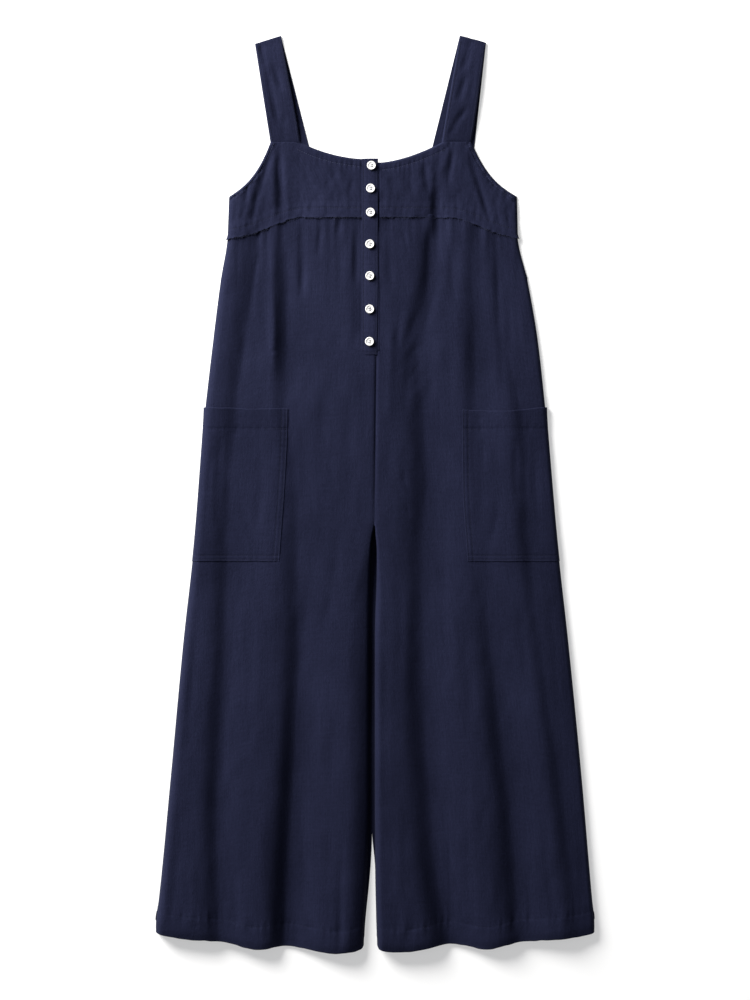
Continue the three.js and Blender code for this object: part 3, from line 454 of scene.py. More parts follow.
def mesh_piece(name, points, faces, material, uv=None, wear=None):
    """An object whose place is in its mesh, from points in millimetres and faces of equal size."""
    mesh = bpy.data.meshes.new(name)
    points, faces = np.asarray(points, float), np.asarray(faces, int)
    size = faces.shape[1]
    mesh.vertices.add(len(points))
    mesh.vertices.foreach_set("co", (points * MM).ravel())
    mesh.loops.add(faces.size)
    mesh.loops.foreach_set("vertex_index", faces.ravel())
    mesh.polygons.add(len(faces))
    mesh.polygons.foreach_set("loop_start", np.arange(0, faces.size, size))
    mesh.polygons.foreach_set("use_smooth", np.ones(len(faces), bool))
    if uv is not None:
        layer = mesh.uv_layers.new(name="cloth")
        layer.data.foreach_set("uv", (np.asarray(uv) * MM)[faces.ravel()].ravel())
    if wear is not None:
        mesh.attributes.new("wear", "FLOAT", "POINT").data.foreach_set("value", np.asarray(wear, float))
    mesh.update(calc_edges=True)
    mesh.validate()
    mesh.materials.append(material)
    piece = bpy.data.objects.new(name, mesh)
    bpy.context.scene.collection.objects.link(piece)
    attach(piece, "root")
    return piece


def shell(name, grid, material, outwards=(0, 0, 1), thick=CLOTH, wear=None, origin=(0.0, 0.0)):
    """A thin closed sheet on a grid of outer points: the inner face lies thick along the normals below it,
    and a bulged ring rounds the rim between them."""
    wear = np.zeros(grid.shape[:2]) if wear is None else wear
    if (normals(grid) @ np.array(outwards, float)).mean() < 0:
        grid, wear = grid[:, ::-1], wear[:, ::-1]
    n = normals(grid)
    rows, columns = grid.shape[:2]
    u, v = lengths(grid)
    inner = grid - n * thick
    index = np.arange(rows * columns).reshape(rows, columns)
    a, b, c, d = index[:-1, :-1], index[:-1, 1:], index[1:, 1:], index[1:, :-1]
    quads = np.stack([a, b, c, d], -1).reshape(-1, 4)
    count = rows * columns
    loop = np.concatenate([index[0, :-1], index[:-1, -1], index[-1, :0:-1], index[:0:-1, 0]])
    inside = np.clip(np.stack(np.unravel_index(loop, (rows, columns))), 1, [[rows - 2], [columns - 2]])
    flat = grid.reshape(-1, 3)
    away = unit(flat[loop] - grid[inside[0], inside[1]])
    ring = (flat[loop] + inner.reshape(-1, 3)[loop]) / 2 + away * thick * 0.4
    edge = np.arange(len(loop)) + 2 * count
    after = np.roll(np.arange(len(loop)), -1)
    rim = np.concatenate([
        np.stack([loop, edge, edge[after], loop[after]], -1),
        np.stack([edge, loop + count, loop[after] + count, edge[after]], -1),
    ])
    points = np.vstack([flat, inner.reshape(-1, 3), ring])
    faces = np.vstack([quads, quads[:, ::-1] + count, rim])
    plane = np.stack([u + origin[0], v + origin[1]], -1).reshape(-1, 2)
    worn = wear.ravel()
    return mesh_piece(name, points, faces, material, uv=np.vstack([plane, plane, plane[loop]]),
                      wear=np.concatenate([worn, worn * 0.3, np.maximum(worn[loop], 0.5)]))


def copies(name, points, faces, places, frames, material):
    """One small shape set down many times: frames holds the three axes of each copy as columns."""
    points, faces = np.asarray(points, float), np.asarray(faces, int)
    every = np.einsum("nij,kj->nki", frames, points) + places[:, None]
    offset = np.arange(len(places))[:, None, None] * len(points)
    return mesh_piece(name, every.reshape(-1, 3), (faces[None] + offset).reshape(-1, 4), material)


def capsule(length, radius):
    """A stitch: six-sided rings that swell from both ends to the middle, closed by two quads at each end."""
    sides = 6
    t = np.array([-0.5, -0.38, 0, 0.38, 0.5])
    swell = np.array([0.25, 0.8, 1.0, 0.8, 0.25])
    turn = np.arange(sides) * 2 * np.pi / sides
    points = np.stack([
        np.repeat(t * length, sides),
        (np.cos(turn)[None] * swell[:, None]).ravel() * radius,
        (np.sin(turn)[None] * swell[:, None]).ravel() * radius,
    ], 1)
    index = np.arange(5 * sides).reshape(5, sides)
    following = np.roll(index, -1, 1)
    quads = np.stack([index[:-1], following[:-1], following[1:], index[1:]], -1).reshape(-1, 4)
    return points, np.vstack([quads, [[3, 2, 1, 0], [5, 4, 3, 0], [24, 25, 26, 27], [24, 27, 28, 29]]])


def stitches(name, path, up, material, pitch=3.4, length=2.5, radius=0.3):
    """Stitches along a path, each turned to lie along it with its back to the cloth."""
    step = np.linalg.norm(np.diff(path, axis=0), axis=1)
    run = np.concatenate([[0], np.cumsum(step)])
    at = np.arange(pitch / 2, run[-1], pitch)
    behind, spot, ahead = (
        np.stack([np.interp(at + off, run, path[:, k]) for k in range(3)], 1) for off in (-0.5, 0, 0.5)
    )
    t = unit(ahead - behind)
    side = unit(np.cross(np.broadcast_to(np.array(up, float), t.shape), t))
    n = np.cross(t, side)
    return copies(name, *capsule(length, radius), spot, np.stack([t, side, n * 0.7], -1), material)


def lathe(profile, segments):
    """A profile of (radius, height) from axis to axis, turned once round it, all in triangles."""
    r, z = np.array(profile[1:-1], float).T
    turn = np.arange(segments) * 2 * np.pi / segments
    height = np.repeat(z[:, None], segments, 1)
    rings = np.stack([r[:, None] * np.cos(turn), r[:, None] * np.sin(turn), height], -1)
    points = np.vstack([rings.reshape(-1, 3), [[0, 0, profile[0][1]], [0, 0, profile[-1][1]]]])
    index = np.arange(len(r) * segments).reshape(len(r), segments)
    after = np.roll(index, -1, 1)
    a, b, c, d = index[:-1].ravel(), after[:-1].ravel(), after[1:].ravel(), index[1:].ravel()
    low, high = np.full(segments, len(points) - 2), np.full(segments, len(points) - 1)
    caps = (index[0], low, after[0]), (index[-1], after[-1], high)
    return points, np.vstack([np.stack(t, -1) for t in ((a, b, c), (a, c, d), *caps)])


# Finishes: navy cloth, threads and white buttons


def tree(name, **constants):
    """A new material, its shader with these constants, a function that adds a node, and its links."""
    material = bpy.data.materials.new(name)
    material.use_nodes = True
    nodes, links = material.node_tree.nodes, material.node_tree.links
    for socket, value in constants.items():
        nodes["Principled BSDF"].inputs[socket.replace("_", " ")].default_value = value

    def node(kind, inputs=None, **settings):
        """A new node with its settings and inputs, of which sockets are linked and values are set."""
        made = nodes.new(kind)
        for key, value in settings.items():
            setattr(made, key, value)
        for key, value in (inputs or {}).items():
            if isinstance(value, bpy.types.NodeSocket):
                links.new(value, made.inputs[key])
            else:
                made.inputs[key].default_value = value
        return made

    return material, nodes["Principled BSDF"], node, links


def cloth_finish(name, dark, light, faded):
    """Plain navy cloth: slubs along both threads, soft clouds in the dye, a fine twill, paler worn edges."""
    material, bsdf, node, links = tree(
        name, Specular_IOR_Level=0.06, Sheen_Weight=0.015, Sheen_Roughness=0.45,
        Sheen_Tint=(0.5, 0.55, 0.85, 1),
    )
    uv = node("ShaderNodeUVMap", uv_map="cloth").outputs["UV"]

    def grain(scale, detail, rough=0.5):
        """Noise on the cloth's own coordinates, stretched by scale."""
        place = node("ShaderNodeMapping", {"Vector": uv, "Scale": scale})
        made = node("ShaderNodeTexNoise", {"Vector": place.outputs[0], "Scale": 1.0, "Detail": detail,
                                           "Roughness": rough})
        return made.outputs["Fac"]

    def math(kind, a, b, clamped=False):
        """The result of a calculation with two outputs or values."""
        return node("ShaderNodeMath", {0: a, 1: b}, operation=kind, use_clamp=clamped).outputs[0]

    def total(*terms):
        """The sum of outputs, each times its weight."""
        made = math("MULTIPLY", *terms[0])
        for term in terms[1:]:
            made = math("ADD", made, math("MULTIPLY", *term))
        return made

    warp, weft = grain((620, 22, 1), 2.0), grain((24, 560, 1), 2.0)
    clouds, speck = grain((11, 8, 1), 3.0), grain((1500, 1100, 1), 1.0)
    fleck, rumple = grain((420, 210, 1), 3.0, 0.65), grain((190, 130, 1), 4.0, 0.6)
    place = node("ShaderNodeMapping", {"Vector": uv, "Rotation": (0, 0, 0.9)})
    twill = node("ShaderNodeTexWave", {"Vector": place.outputs[0], "Scale": 330.0, "Distortion": 1.2,
                                       "Detail": 1.0, "Detail Scale": 3.0}, bands_direction="X")
    twill = twill.outputs["Fac"]
    shade = total((warp, 0.55), (weft, 0.35), (clouds, 0.75), (speck, 0.35), (fleck, 0.8))
    level = node("ShaderNodeMapRange", {"Value": shade, "From Min": 1.05, "From Max": 1.75}).outputs[0]
    dye = node("ShaderNodeMix", {"Factor": level, 6: dark, 7: light}, data_type="RGBA").outputs[2]
    worn = node("ShaderNodeAttribute", attribute_name="wear").outputs["Fac"]
    worn = math("MULTIPLY", worn, total((speck, 0.5), (warp, 0.7)), True)
    colour = node("ShaderNodeMix", {"Factor": worn, 6: dye, 7: faded}, data_type="RGBA").outputs[2]
    links.new(colour, bsdf.inputs["Base Color"])
    links.new(node("ShaderNodeMapRange", {"Value": shade, "From Min": 0.9, "From Max": 1.9, "To Min": 0.95,
                                          "To Max": 0.8}).outputs[0], bsdf.inputs["Roughness"])
    relief = total((warp, 0.7), (weft, 0.5), (twill, 0.35), (speck, 0.4), (fleck, 0.7), (rumple, 2.0))
    bump = node("ShaderNodeBump", {"Height": relief, "Strength": 0.6, "Distance": 0.00035})
    links.new(bump.outputs[0], bsdf.inputs["Normal"])
    return material


def thread_finish(name, dark, light):
    """Spun thread: two near shades and a fine twist, on the piece's own coordinates."""
    material, bsdf, node, links = tree(name, Roughness=0.8, Specular_IOR_Level=0.12, Sheen_Weight=0.02)
    place = node("ShaderNodeTexCoord").outputs["Object"]
    twist = node("ShaderNodeTexNoise", {"Vector": place, "Scale": 900.0, "Detail": 2.0}).outputs["Fac"]
    links.new(node("ShaderNodeMix", {"Factor": twist, 6: dark, 7: light}, data_type="RGBA").outputs[2],
              bsdf.inputs["Base Color"])
    links.new(node("ShaderNodeBump", {"Height": twist, "Strength": 0.4, "Distance": 0.0001}).outputs[0],
              bsdf.inputs["Normal"])
    return material


def button_finish(name):
    """White shirt button: milky, with faint swirled shading in its colour, gloss and relief."""
    material, bsdf, node, links = tree(name, Coat_Weight=0.25, Coat_Roughness=0.15)
    place = node("ShaderNodeTexCoord").outputs["Object"]
    swirl = node("ShaderNodeTexNoise", {"Vector": place, "Scale": 130.0, "Detail": 3.0, "Distortion": 1.5})
    swirl = swirl.outputs[0]
    links.new(node("ShaderNodeMix", {"Factor": swirl, 6: (0.50, 0.495, 0.475, 1), 7: (0.66, 0.655, 0.64, 1)},
                   data_type="RGBA").outputs[2], bsdf.inputs["Base Color"])
    links.new(node("ShaderNodeMapRange", {"Value": swirl, "To Min": 0.22, "To Max": 0.42}).outputs[0],
              bsdf.inputs["Roughness"])
    links.new(node("ShaderNodeBump", {"Height": swirl, "Strength": 0.15, "Distance": 0.0002}).outputs[0],
              bsdf.inputs["Normal"])
    return material


NAVY = (0.0038, 0.0046, 0.0135, 1), (0.0082, 0.0096, 0.0255, 1), (0.013, 0.0155, 0.036, 1)
navy = cloth_finish("navy_twill", *NAVY)
navy_back = cloth_finish("navy_twill_back", *NAVY)
thread = thread_finish("navy_thread", (0.0035, 0.0042, 0.012, 1), (0.0085, 0.0105, 0.026, 1))
edge_thread = thread_finish("edge_thread", (0.012, 0.0145, 0.034, 1), (0.028, 0.032, 0.062, 1))
fray_thread = thread_finish("frayed_yarn", (0.005, 0.006, 0.016, 1), (0.016, 0.019, 0.042, 1))
button_thread = thread_finish("button_thread", (0.22, 0.22, 0.235, 1), (0.36, 0.36, 0.375, 1))
button_white = button_finish("button_white")

# Front legs

# Distances of the fine columns from an edge, the raw edge below the seam, and the lap's height
EDGE_STEPS = np.array([0, 0.25, 0.8, 1.7, 3.0, 4.8, 7.0, 9.6, 12.6])
RAW_DROP = 2.0
LAP = 1.25


def leg_plan(side, columns, rows, top, hem, inner):
    """Plan points of a leg. Its columns lie in fine steps beside both edges and evenly between them, and
    its rows bend to the seam at the top and to the hem."""
    k = len(EDGE_STEPS)
    nominal = rows[:, None]
    even = np.linspace(0, 1, columns)
    y = np.repeat(nominal, columns + 2 * k, 1).astype(float)
    for _ in range(3):
        near, far = inner(side, y) * SIGN[side], side_x(side, y) * SIGN[side]
        between = mix(near[:, k:-k] + 16, far[:, k:-k] - 16, even)
        away = [near[:, :k] + EDGE_STEPS, between, far[:, -k:] - EDGE_STEPS[::-1]]
        x = SIGN[side] * np.concatenate(away, 1)
        up = clamp((nominal - 190) / (rows[0] - 190))
        down = clamp((-480 - nominal) / (-480 - HEM_Y))
        y = nominal + up * (top(x) - rows[0]) + down * (hem(x) - HEM_Y)
    return x, y


LEG_ROWS = np.concatenate([
    np.arange(408, 340, -2.2), np.arange(340, -590, -5.0), np.arange(-592, HEM_Y, -1.6), [HEM_Y],
])


def stitch_at_hem(x, y):
    """The hem's stitched line, with puckers of two sizes that fade from it."""
    away = y - (front_hem_y(x) + HEM_DEPTH)
    small = noise(x, y, 3.6, 60, 32) + 0.7 * noise(x, y, 7.5, 90, 33)
    line = line_stitch(away, x, deep=0.3, width=1.1, pucker=0.35, period=9.0, seed=31)
    return line + 0.85 * small * np.exp(-np.abs(away) / 9)


def leg_surface(side, x, y):
    """The folded front, with gathers under the seam, the turned hem's step and its stitched line."""
    z = front_z(side, x, y)
    below = seam_y(x) - y
    gathers = 0.8 * noise(x, y, 7.0, 90, 21) + noise(x, y, 14, 120, 22)
    z = z + 1.2 * gathers * np.exp(-np.abs(below) / 42) - 1.9 * smooth((-below - 0.5) / 4)
    z = z + 0.25 * smooth((front_hem_y(x) + HEM_DEPTH + 4 - y) / 8) + stitch_at_hem(x, y)
    z = z - 0.12 * (z - BACK_TOP) * (1 - clamp((y - front_hem_y(x)) / 14)) ** 2
    return np.maximum(z, BACK_TOP + lift(x, y))


def worn(*terms):
    """Wear from distances to edges: each (distance, reach, strength) fades from the edge inwards."""
    return clamp(sum(strength * np.exp(-np.abs(d) / reach) for d, reach, strength in terms))


for side in SIGN:
    x, y = leg_plan(side, 150, LEG_ROWS, lambda x: seam_y(x) + 8, front_hem_y, inner_x)
    y = y + 0.5 * noise(x, y, 9, 400, 41) * smooth((front_hem_y(x) + 20 - y) / 20)
    z = leg_surface(side, x, y)
    above_hem = y - front_hem_y(x)
    edge_wear = worn((above_hem, 3.0, 0.8), (x - side_x(side, y), 4.0, 0.5), (above_hem - 33, 2.0, 0.06))
    grid = np.stack([x, y, z], -1)
    piece = shell(f"leg_front_{side}", grid, navy, wear=edge_wear, origin=(7.0 * SIGN[side], 0))
    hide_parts(f"front_leg_{side}")

# Back legs and back yoke


def under(x, y):
    """The underside: flat on the surface, but for the lift over the pockets and faint pressed creases."""
    relief = 0.25 * (1 + noise(x, y, 34, 150, 51)) * 0.5 - crease(BACK_CREASES, x, y, photo=False)
    return FLOOR_GAP + lift(x, y) + np.clip(relief, 0, 0.7)


def back_inner(side, y):
    """The back legs lie edge to edge in the middle of the front legs' gap, and part near the hems."""
    middle = (inner_x("right", y) + inner_x("left", y)) / 2 * smooth((CROTCH_Y - y) / 30)
    start, length = (-492, 140) if side == "right" else (-478, 66)
    parted = smooth((start - y) / length)
    return mix(middle + 0.08 * SIGN[side], inner_x(side, y), parted)


BACK_ROWS = np.concatenate([np.arange(400, -590, -7.0), np.arange(-592, HEM_Y, -2.5), [HEM_Y]])
for side in SIGN:
    x, y = leg_plan(side, 44, BACK_ROWS, back_seam_y, back_hem_y, back_inner)
    away = y - back_hem_y(x) - HEM_DEPTH
    z = under(x, y) - 0.5 * np.clip(line_stitch(away, x, seed=61), -0.6, 0)
    edge_wear = worn((y - back_hem_y(x), 3.0, 0.8), (x - side_x(side, y), 4.0, 0.5))
    piece = shell(f"leg_back_{side}", np.stack([x, y, z], -1), navy_back, (0, 0, -1), wear=edge_wear)
    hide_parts(f"back_leg_{side}")


def back_yoke_top(side, x):
    """The upper edge of the back yoke: a power for the neckline, then the armhole."""
    outer, inner = (abs(p[0]) for p in STRAPS[side]["back"])
    across = np.abs(x)
    neck = BACK_NECK_Y + (BACK_STRAP_Y - BACK_NECK_Y) * np.minimum(1, across / inner) ** 2.2
    end = abs(float(side_x(side, ARMPIT_Y)))
    arm = ARMPIT_Y - 2 + (BACK_STRAP_Y - ARMPIT_Y + 2) * scoop((across - outer) / (end - outer))
    return np.where(across < inner, neck, arm)


across = []
for side in ("right", "left"):
    (outer, _), (inner, _) = STRAPS[side]["back"]
    end = float(side_x(side, ARMPIT_Y - 2))
    half = np.concatenate([np.linspace(0, inner, 24), np.linspace(inner, outer, 14)[1:],
                           outer + (end - outer) * np.linspace(0, 1, 26)[1:] ** 0.8])
    across.append(half[::-1] if side == "right" else half[1:])
top_x = np.concatenate(across)
seam_end = {side: float(side_x(side, BACK_SEAM_Y - 30)) for side in SIGN}
seam_x = np.where(
    top_x < 0, top_x * seam_end["right"] / across[0][0], top_x * seam_end["left"] / across[1][-1]
)
top_y = np.where(top_x < 0, back_yoke_top("right", top_x), back_yoke_top("left", top_x))
share = np.concatenate([
    np.linspace(0, 0.12, 6), np.linspace(0.12, 0.86, 20)[1:], np.linspace(0.86, 1, 8)[1:],
])[:, None]
x = mix(seam_x, top_x, share)
y = mix(back_seam_y(seam_x) + 0.1, top_y, share)
z = under(x, y) + 0.3 * bell((top_y - y - NECK_STITCH) / 1.5)
z = z + 0.3 * bell((y - back_seam_y(x) - 4) / 1.5)
back_yoke = shell("yoke_back", np.stack([x, y, z], -1), navy_back, (0, 0, -1),
                  wear=worn((top_y - y, 3.0, 0.7), (y - back_seam_y(x), 2.0, 0.5)))
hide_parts("back_yoke")

# Front yokes, laid over the tops of the legs

# Rows of a yoke, and the fine ones' distances from the raw edge and from the upper edge
YOKE_ROWS = 60
RAW_STEPS = np.array([0, .7, 1.4, 2.2, 3.2, 4.4, 5.8, 7.4, 9.2, 10.6, 11.6, 12.6, 13.6, 14.6, 15.8, 17.4, 20])
TOP_STEPS = np.array([16, 14, 12.8, 11.8, 10.8, 9.4, 8, 6.8, 5.8, 5, 4.2, 3.4, 2.4, 1.4, .6, 0])


def raw_edge_y(x):
    """The raw edge: below the seam's line, uneven in waves of three sizes that grow from the middle."""
    waves = 0.7 * noise(x, x * 0, 13, 9, 71) + 0.8 * noise(x, x * 0 + 9, 5.5, 9, 72)
    waves = waves + 0.7 * noise(x, x * 0 + 4, 2.6, 9, 70)
    return seam_y(x) - RAW_DROP - waves * mix(0.2, 1.1, smooth((np.abs(x) - 50) / 60)) - 0.8


def lap_raise(x, y):
    """The yoke's rise where it laps over the leg, eased in between 22 and 10 mm above the seam."""
    return LAP * smooth((seam_y(x) + 22 - y) / 12)


def yoke_surface(side, x, y):
    """The folded front lifted over the leg's top, its raw edge curled, its three edges stitched."""
    z = front_z(side, x, y) + lap_raise(x, y) + 0.24 * noise(x, y, 4.5, 9, 78) + 0.3 * noise(x, y, 8, 17, 79)
    from_raw = y - (seam_y(x) - RAW_DROP)
    frill = 1.2 * noise(x, y, 5.0, 9, 73) + 1.0 * noise(x, y, 14, 30, 74)
    torn = mix(0.35, 1.0, smooth((np.abs(x) - 30) / 50))
    z = z + (0.35 + 0.6 * frill) * torn * np.exp(-np.clip(from_raw, 0, None) / 3.0)
    rounded = clamp((z - BACK_TOP) / 4)
    neck, arm = distance(EDGES[side]["neck"], x, y), distance(EDGES[side]["arm"], x, y)
    for away, along, how in (
        (neck - NECK_STITCH, x, dict(deep=0.35, width=1.2, pucker=0.75, period=7.0, seed=75)),
        (arm - ARM_STITCH, x + y, dict(deep=0.5, width=1.3, pucker=0.95, period=6.5, seed=76)),
    ):
        z = z + rounded * line_stitch(away, along, **how)
    z = z + rounded * noise(x, y, 3.6, 3.6, 80) * bell((arm - 6) / 4.5)
    z = z + line_stitch(from_raw - (RAW_DROP + YOKE_STITCH), x, deep=0.4, pucker=0.6, period=9, seed=77)
    return np.maximum(z, BACK_TOP)


for side in SIGN:
    (outer, _), (inner, _) = STRAPS[side]["front"]
    start = float(inner_x(side, SEAM_Y))
    across = np.concatenate([np.linspace(start, inner, 58), np.linspace(inner, outer, 26)[1:]])
    beside = 1 - (1 - np.linspace(0, 1, 46)[1:]) ** 1.35
    first = np.concatenate([across, mix(outer, float(side_x(side, SEAM_Y)), beside)])
    x = np.repeat(first[None], YOKE_ROWS, 0)
    a, b = len(RAW_STEPS), YOKE_ROWS - len(TOP_STEPS)
    middle = np.linspace(0, 1, b - a + 2)[1:-1, None]
    for _ in range(4):
        low, high = raw_edge_y(x), yoke_top_y(side, x)
        between = mix(low[a:b] + RAW_STEPS[-1], high[a:b] - TOP_STEPS[0], middle)
        y = np.concatenate([low[:a] + RAW_STEPS[:, None], between, high[b:] - TOP_STEPS[:, None]])
        at_arm = mix(outer, side_x(side, y[:, len(across):]), beside)
        x = np.concatenate([np.repeat(across[None], YOKE_ROWS, 0), at_arm], 1)
    z = yoke_surface(side, x, y)
    flare = 2.4 * np.exp(-np.clip(y - raw_edge_y(x), 0, None) / 4)
    x = x + SIGN[side] * flare * smooth((np.abs(x) - 175) / 30)
    edge_wear = worn((y - raw_edge_y(x), 1.6, 0.45), (yoke_top_y(side, x) - y, 3.5, 0.3))
    piece = shell(f"yoke_front_{side}", np.stack([x, y, z], -1), navy, wear=edge_wear)
    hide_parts(f"front_yoke_{side}")

# Button bands


def level(x, y):
    """Height of the front under the bands, where the right and left halves meet."""
    y = np.minimum(y, 468)
    return np.where(x < -5, folded("right", x, y)[0], folded("left", x, y)[0])


def band_z(x, y):
    """The front's own level, raised over the lapped seam and by the over band's height above it."""
    over = LAP * smooth((SEAM_Y + 42 - y) / 20) * smooth((y - SEAM_Y + 32) / 24)
    return level(x, y) + over + 1.3


def over_right(y):
    """The over band's free edge, which draws in a little at the lower end."""
    return mix(BAND_RIGHT, BAND_RIGHT - 1.8, clamp((280 - y) / 80)) + 0.25 * noise(y, y * 0, 21, 9, 83)


def over_surface(x, y):
    """The over band's outer face: stitched down both sides and across, its edges eased down."""
    right = over_right(y)
    z = band_z(x, y) + 0.25 * noise(x, y, 12, 26, 81)
    z = z + line_stitch(x - BAND_LEFT - BAND_STITCH, y, deep=0.3, width=0.9, pucker=0.25, period=7, seed=82)
    z = z + line_stitch(right - x - BAND_STITCH, y, deep=0.3, width=0.9, pucker=0.25, period=7, seed=84)
    for at in BAND_BARS:
        z = z - 0.35 * bell((y - at) / 1.2)
    edge = np.minimum(right - x, np.minimum(BAND_TOP_Y - y, y - BAND_END_Y))
    z = z - 0.5 * np.exp(-edge / 0.9) - 0.8 * bell((x - BAND_LEFT) / 5.5)
    return z - 0.7 * np.exp(-(y - BAND_END_Y) / 14)


y = np.concatenate([
    np.linspace(BAND_TOP_Y, BAND_TOP_Y - 6, 7), np.arange(BAND_TOP_Y - 8, BAND_END_Y + 16, -2.6),
    np.linspace(BAND_END_Y + 15, BAND_END_Y, 14),
])[:, None]
steps = np.array([0, .03, .07, .1, .14, .2, .3, .4, .5, .6, .7, .8, .86, .9, .93, .97, 1])
x = BAND_LEFT + (over_right(y) - BAND_LEFT) * steps
y = np.repeat(y, x.shape[1], 1)
band_over = shell("band_over_laid", np.stack([x, y, over_surface(x, y)], -1), navy, thick=0.95,
                  wear=worn((x - over_right(y), 1.2, 0.35), (y - BAND_TOP_Y, 1.5, 0.35)))
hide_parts("band_over")

y = np.arange(BAND_TOP_Y - 6, SLIT_END_Y, -3.0)[:, None]
x = np.repeat(np.linspace(UNDER_LEFT, UNDER_RIGHT, 12)[None], len(y), 0)
y = np.repeat(y, 12, 1)
z = level(x, y) + 0.15 * noise(x, y, 9, 20, 86)
band_under = shell("band_under_laid", np.stack([x, y, z], -1), navy, thick=1.2,
                   wear=worn((x - UNDER_RIGHT, 1.2, 0.5)))
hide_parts("band_under")

# Patch pockets, wrapped round the sides

# The inner edge, how the mouth stands and sags, and how far the pocket stands off the leg
POCKET_EDGE = {"right": [(125, -127.2), (98, -127.6), (3, -131.9), (-38, -135), (-97, -139.3)],
               "left": [(121, 125.4), (10, 126.6), (-97, 133.4)]}
POCKET_MOUTH = {"right": (123.0, -0.8), "left": (121.2, -3.2)}
POCKET_OFF = CLOTH + 0.2


def pocket_rise(side, x, y):
    """The turned top, its stitched line, and the doubled lines beside the inner and lower edges."""
    top = POCKET_TOP_Y - y
    inside = np.abs(x) - np.abs(read(POCKET_EDGE[side], y))
    bottom = y - POCKET_BOTTOM_Y
    z = 0.3 * smooth((33 - top) / 7)
    z = z + line_stitch(top - POCKET_HEM, x, deep=0.16, pucker=0.45, period=10, seed=91)
    for line in POCKET_LINES:
        z = z + line_stitch(inside - line, y, deep=0.32, width=1.1, pucker=0.22, period=9, seed=92)
        z = z + line_stitch(bottom - line, x, deep=0.32, width=1.1, pucker=0.22, period=9, seed=93)
    return z + 0.2 * noise(x, y, 30, 44, 94)


for side, sign in SIGN.items():
    nominal = np.concatenate([
        np.linspace(POCKET_TOP_Y, 119, 6), np.arange(117, 100, -2.6), np.linspace(99, 91, 9),
        np.arange(88, -84, -3.2), np.linspace(-86, POCKET_BOTTOM_Y, 12),
    ])[:, None]
    steps = np.array([0, .5, 1.1, 1.7, 2.3, 3, 4.4, 6, 7.2, 7.8, 8.4, 9, 10])
    edge, outer = np.abs(read(POCKET_EDGE[side], nominal)), np.abs(side_x(side, nominal))
    mid = mix(edge + 12.5, outer - 15, np.linspace(0, 1, 30)[None])
    x = sign * np.concatenate([edge + steps, mid, outer - EDGE_STEPS[::-1]], 1)
    mouth, dip = POCKET_MOUTH[side]
    along = clamp((np.abs(x) - edge) / (outer - edge))
    near_top = smooth((nominal - 60) / 65)
    y = nominal + near_top * ((mouth - POCKET_TOP_Y) * (1 - along) + dip * np.sin(np.pi * along) ** 2)
    y = y + 0.5 * noise(x, y, 13, 90, 95) * (near_top + smooth((-60 - nominal) / 37))
    z = np.maximum(front_z(side, x, y), BACK_TOP + lift(x, y))
    step = np.gradient(x, axis=1)
    slope = np.gradient(z, axis=1) / np.where(np.abs(step) < 1e-6, 1e-6, step)
    nx, nz = -slope / np.hypot(slope, 1), 1 / np.hypot(slope, 1)
    nx[:, -1], nz[:, -1] = sign, 0.0
    gape = 2.0 * smooth(along * 2) * np.exp(-(POCKET_TOP_Y - y) / 22)
    off = POCKET_OFF + gape + pocket_rise(side, x, y) * np.maximum(nz, 0.15)
    px, pz = x + nx * off, z + nz * off
    wall = px[:, -1:] - sign * np.array([0, 0.1, 0.45, 1.1, 3, 9, 18, 30, 42, POCKET_BACK])
    low = np.array([1.35, 0.75, 0.35, 0.14, 0.12, 0.12, 0.12, 0.12, 0.12, 0.12])
    px = np.concatenate([px, wall], 1)
    pz = np.concatenate([pz, np.repeat(low[None], len(wall), 0)], 1)
    py = np.concatenate([y, np.repeat(y[:, -1:], 10, 1)], 1)
    edge_wear = worn((POCKET_TOP_Y - py, 2.0, 0.5), (np.abs(px) - edge, 1.6, 0.25),
                     (py - POCKET_BOTTOM_Y, 1.8, 0.4), (np.abs(px) - outer - 1, 3.0, 0.5))
    piece = shell(f"pocket_laid_{side}", np.stack([px, py, pz], -1), navy, wear=edge_wear, origin=(3.3, 1.9))
    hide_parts(f"pocket_{side}")

# Shoulder straps, each one band folded over at the shoulder

STRAP_CREASES = [
    (260, 42, 266, 68, 3, 1.8, 0), (267, 68, 281, 132, 3.5, 2.4, 1), (273, 62, 283, 96, 3.5, 1.8, 0),
    (284, 112, 284, 146, 3, 1.5, 0), (472, 36, 463, 74, 4, 1.8, 0), (469, 70, 457, 108, 4, 2.0, 1),
    (468, 106, 447, 141, 3.5, 2.0, 1), (475, 58, 470, 104, 3, .9, 0),
]


def strap_top(side, x, y):
    """Outer face of a strap's front layer: the folded front, arched from its seam to the fold."""
    z, _ = folded(side, x, y)
    along = clamp((y - STRAP_SEAM_Y) / 142)
    return z + 3.6 * np.sin(np.pi * along) ** 0.7 - 0.45 * np.exp(-np.clip(y - STRAP_SEAM_Y, 0, None) / 1.6)


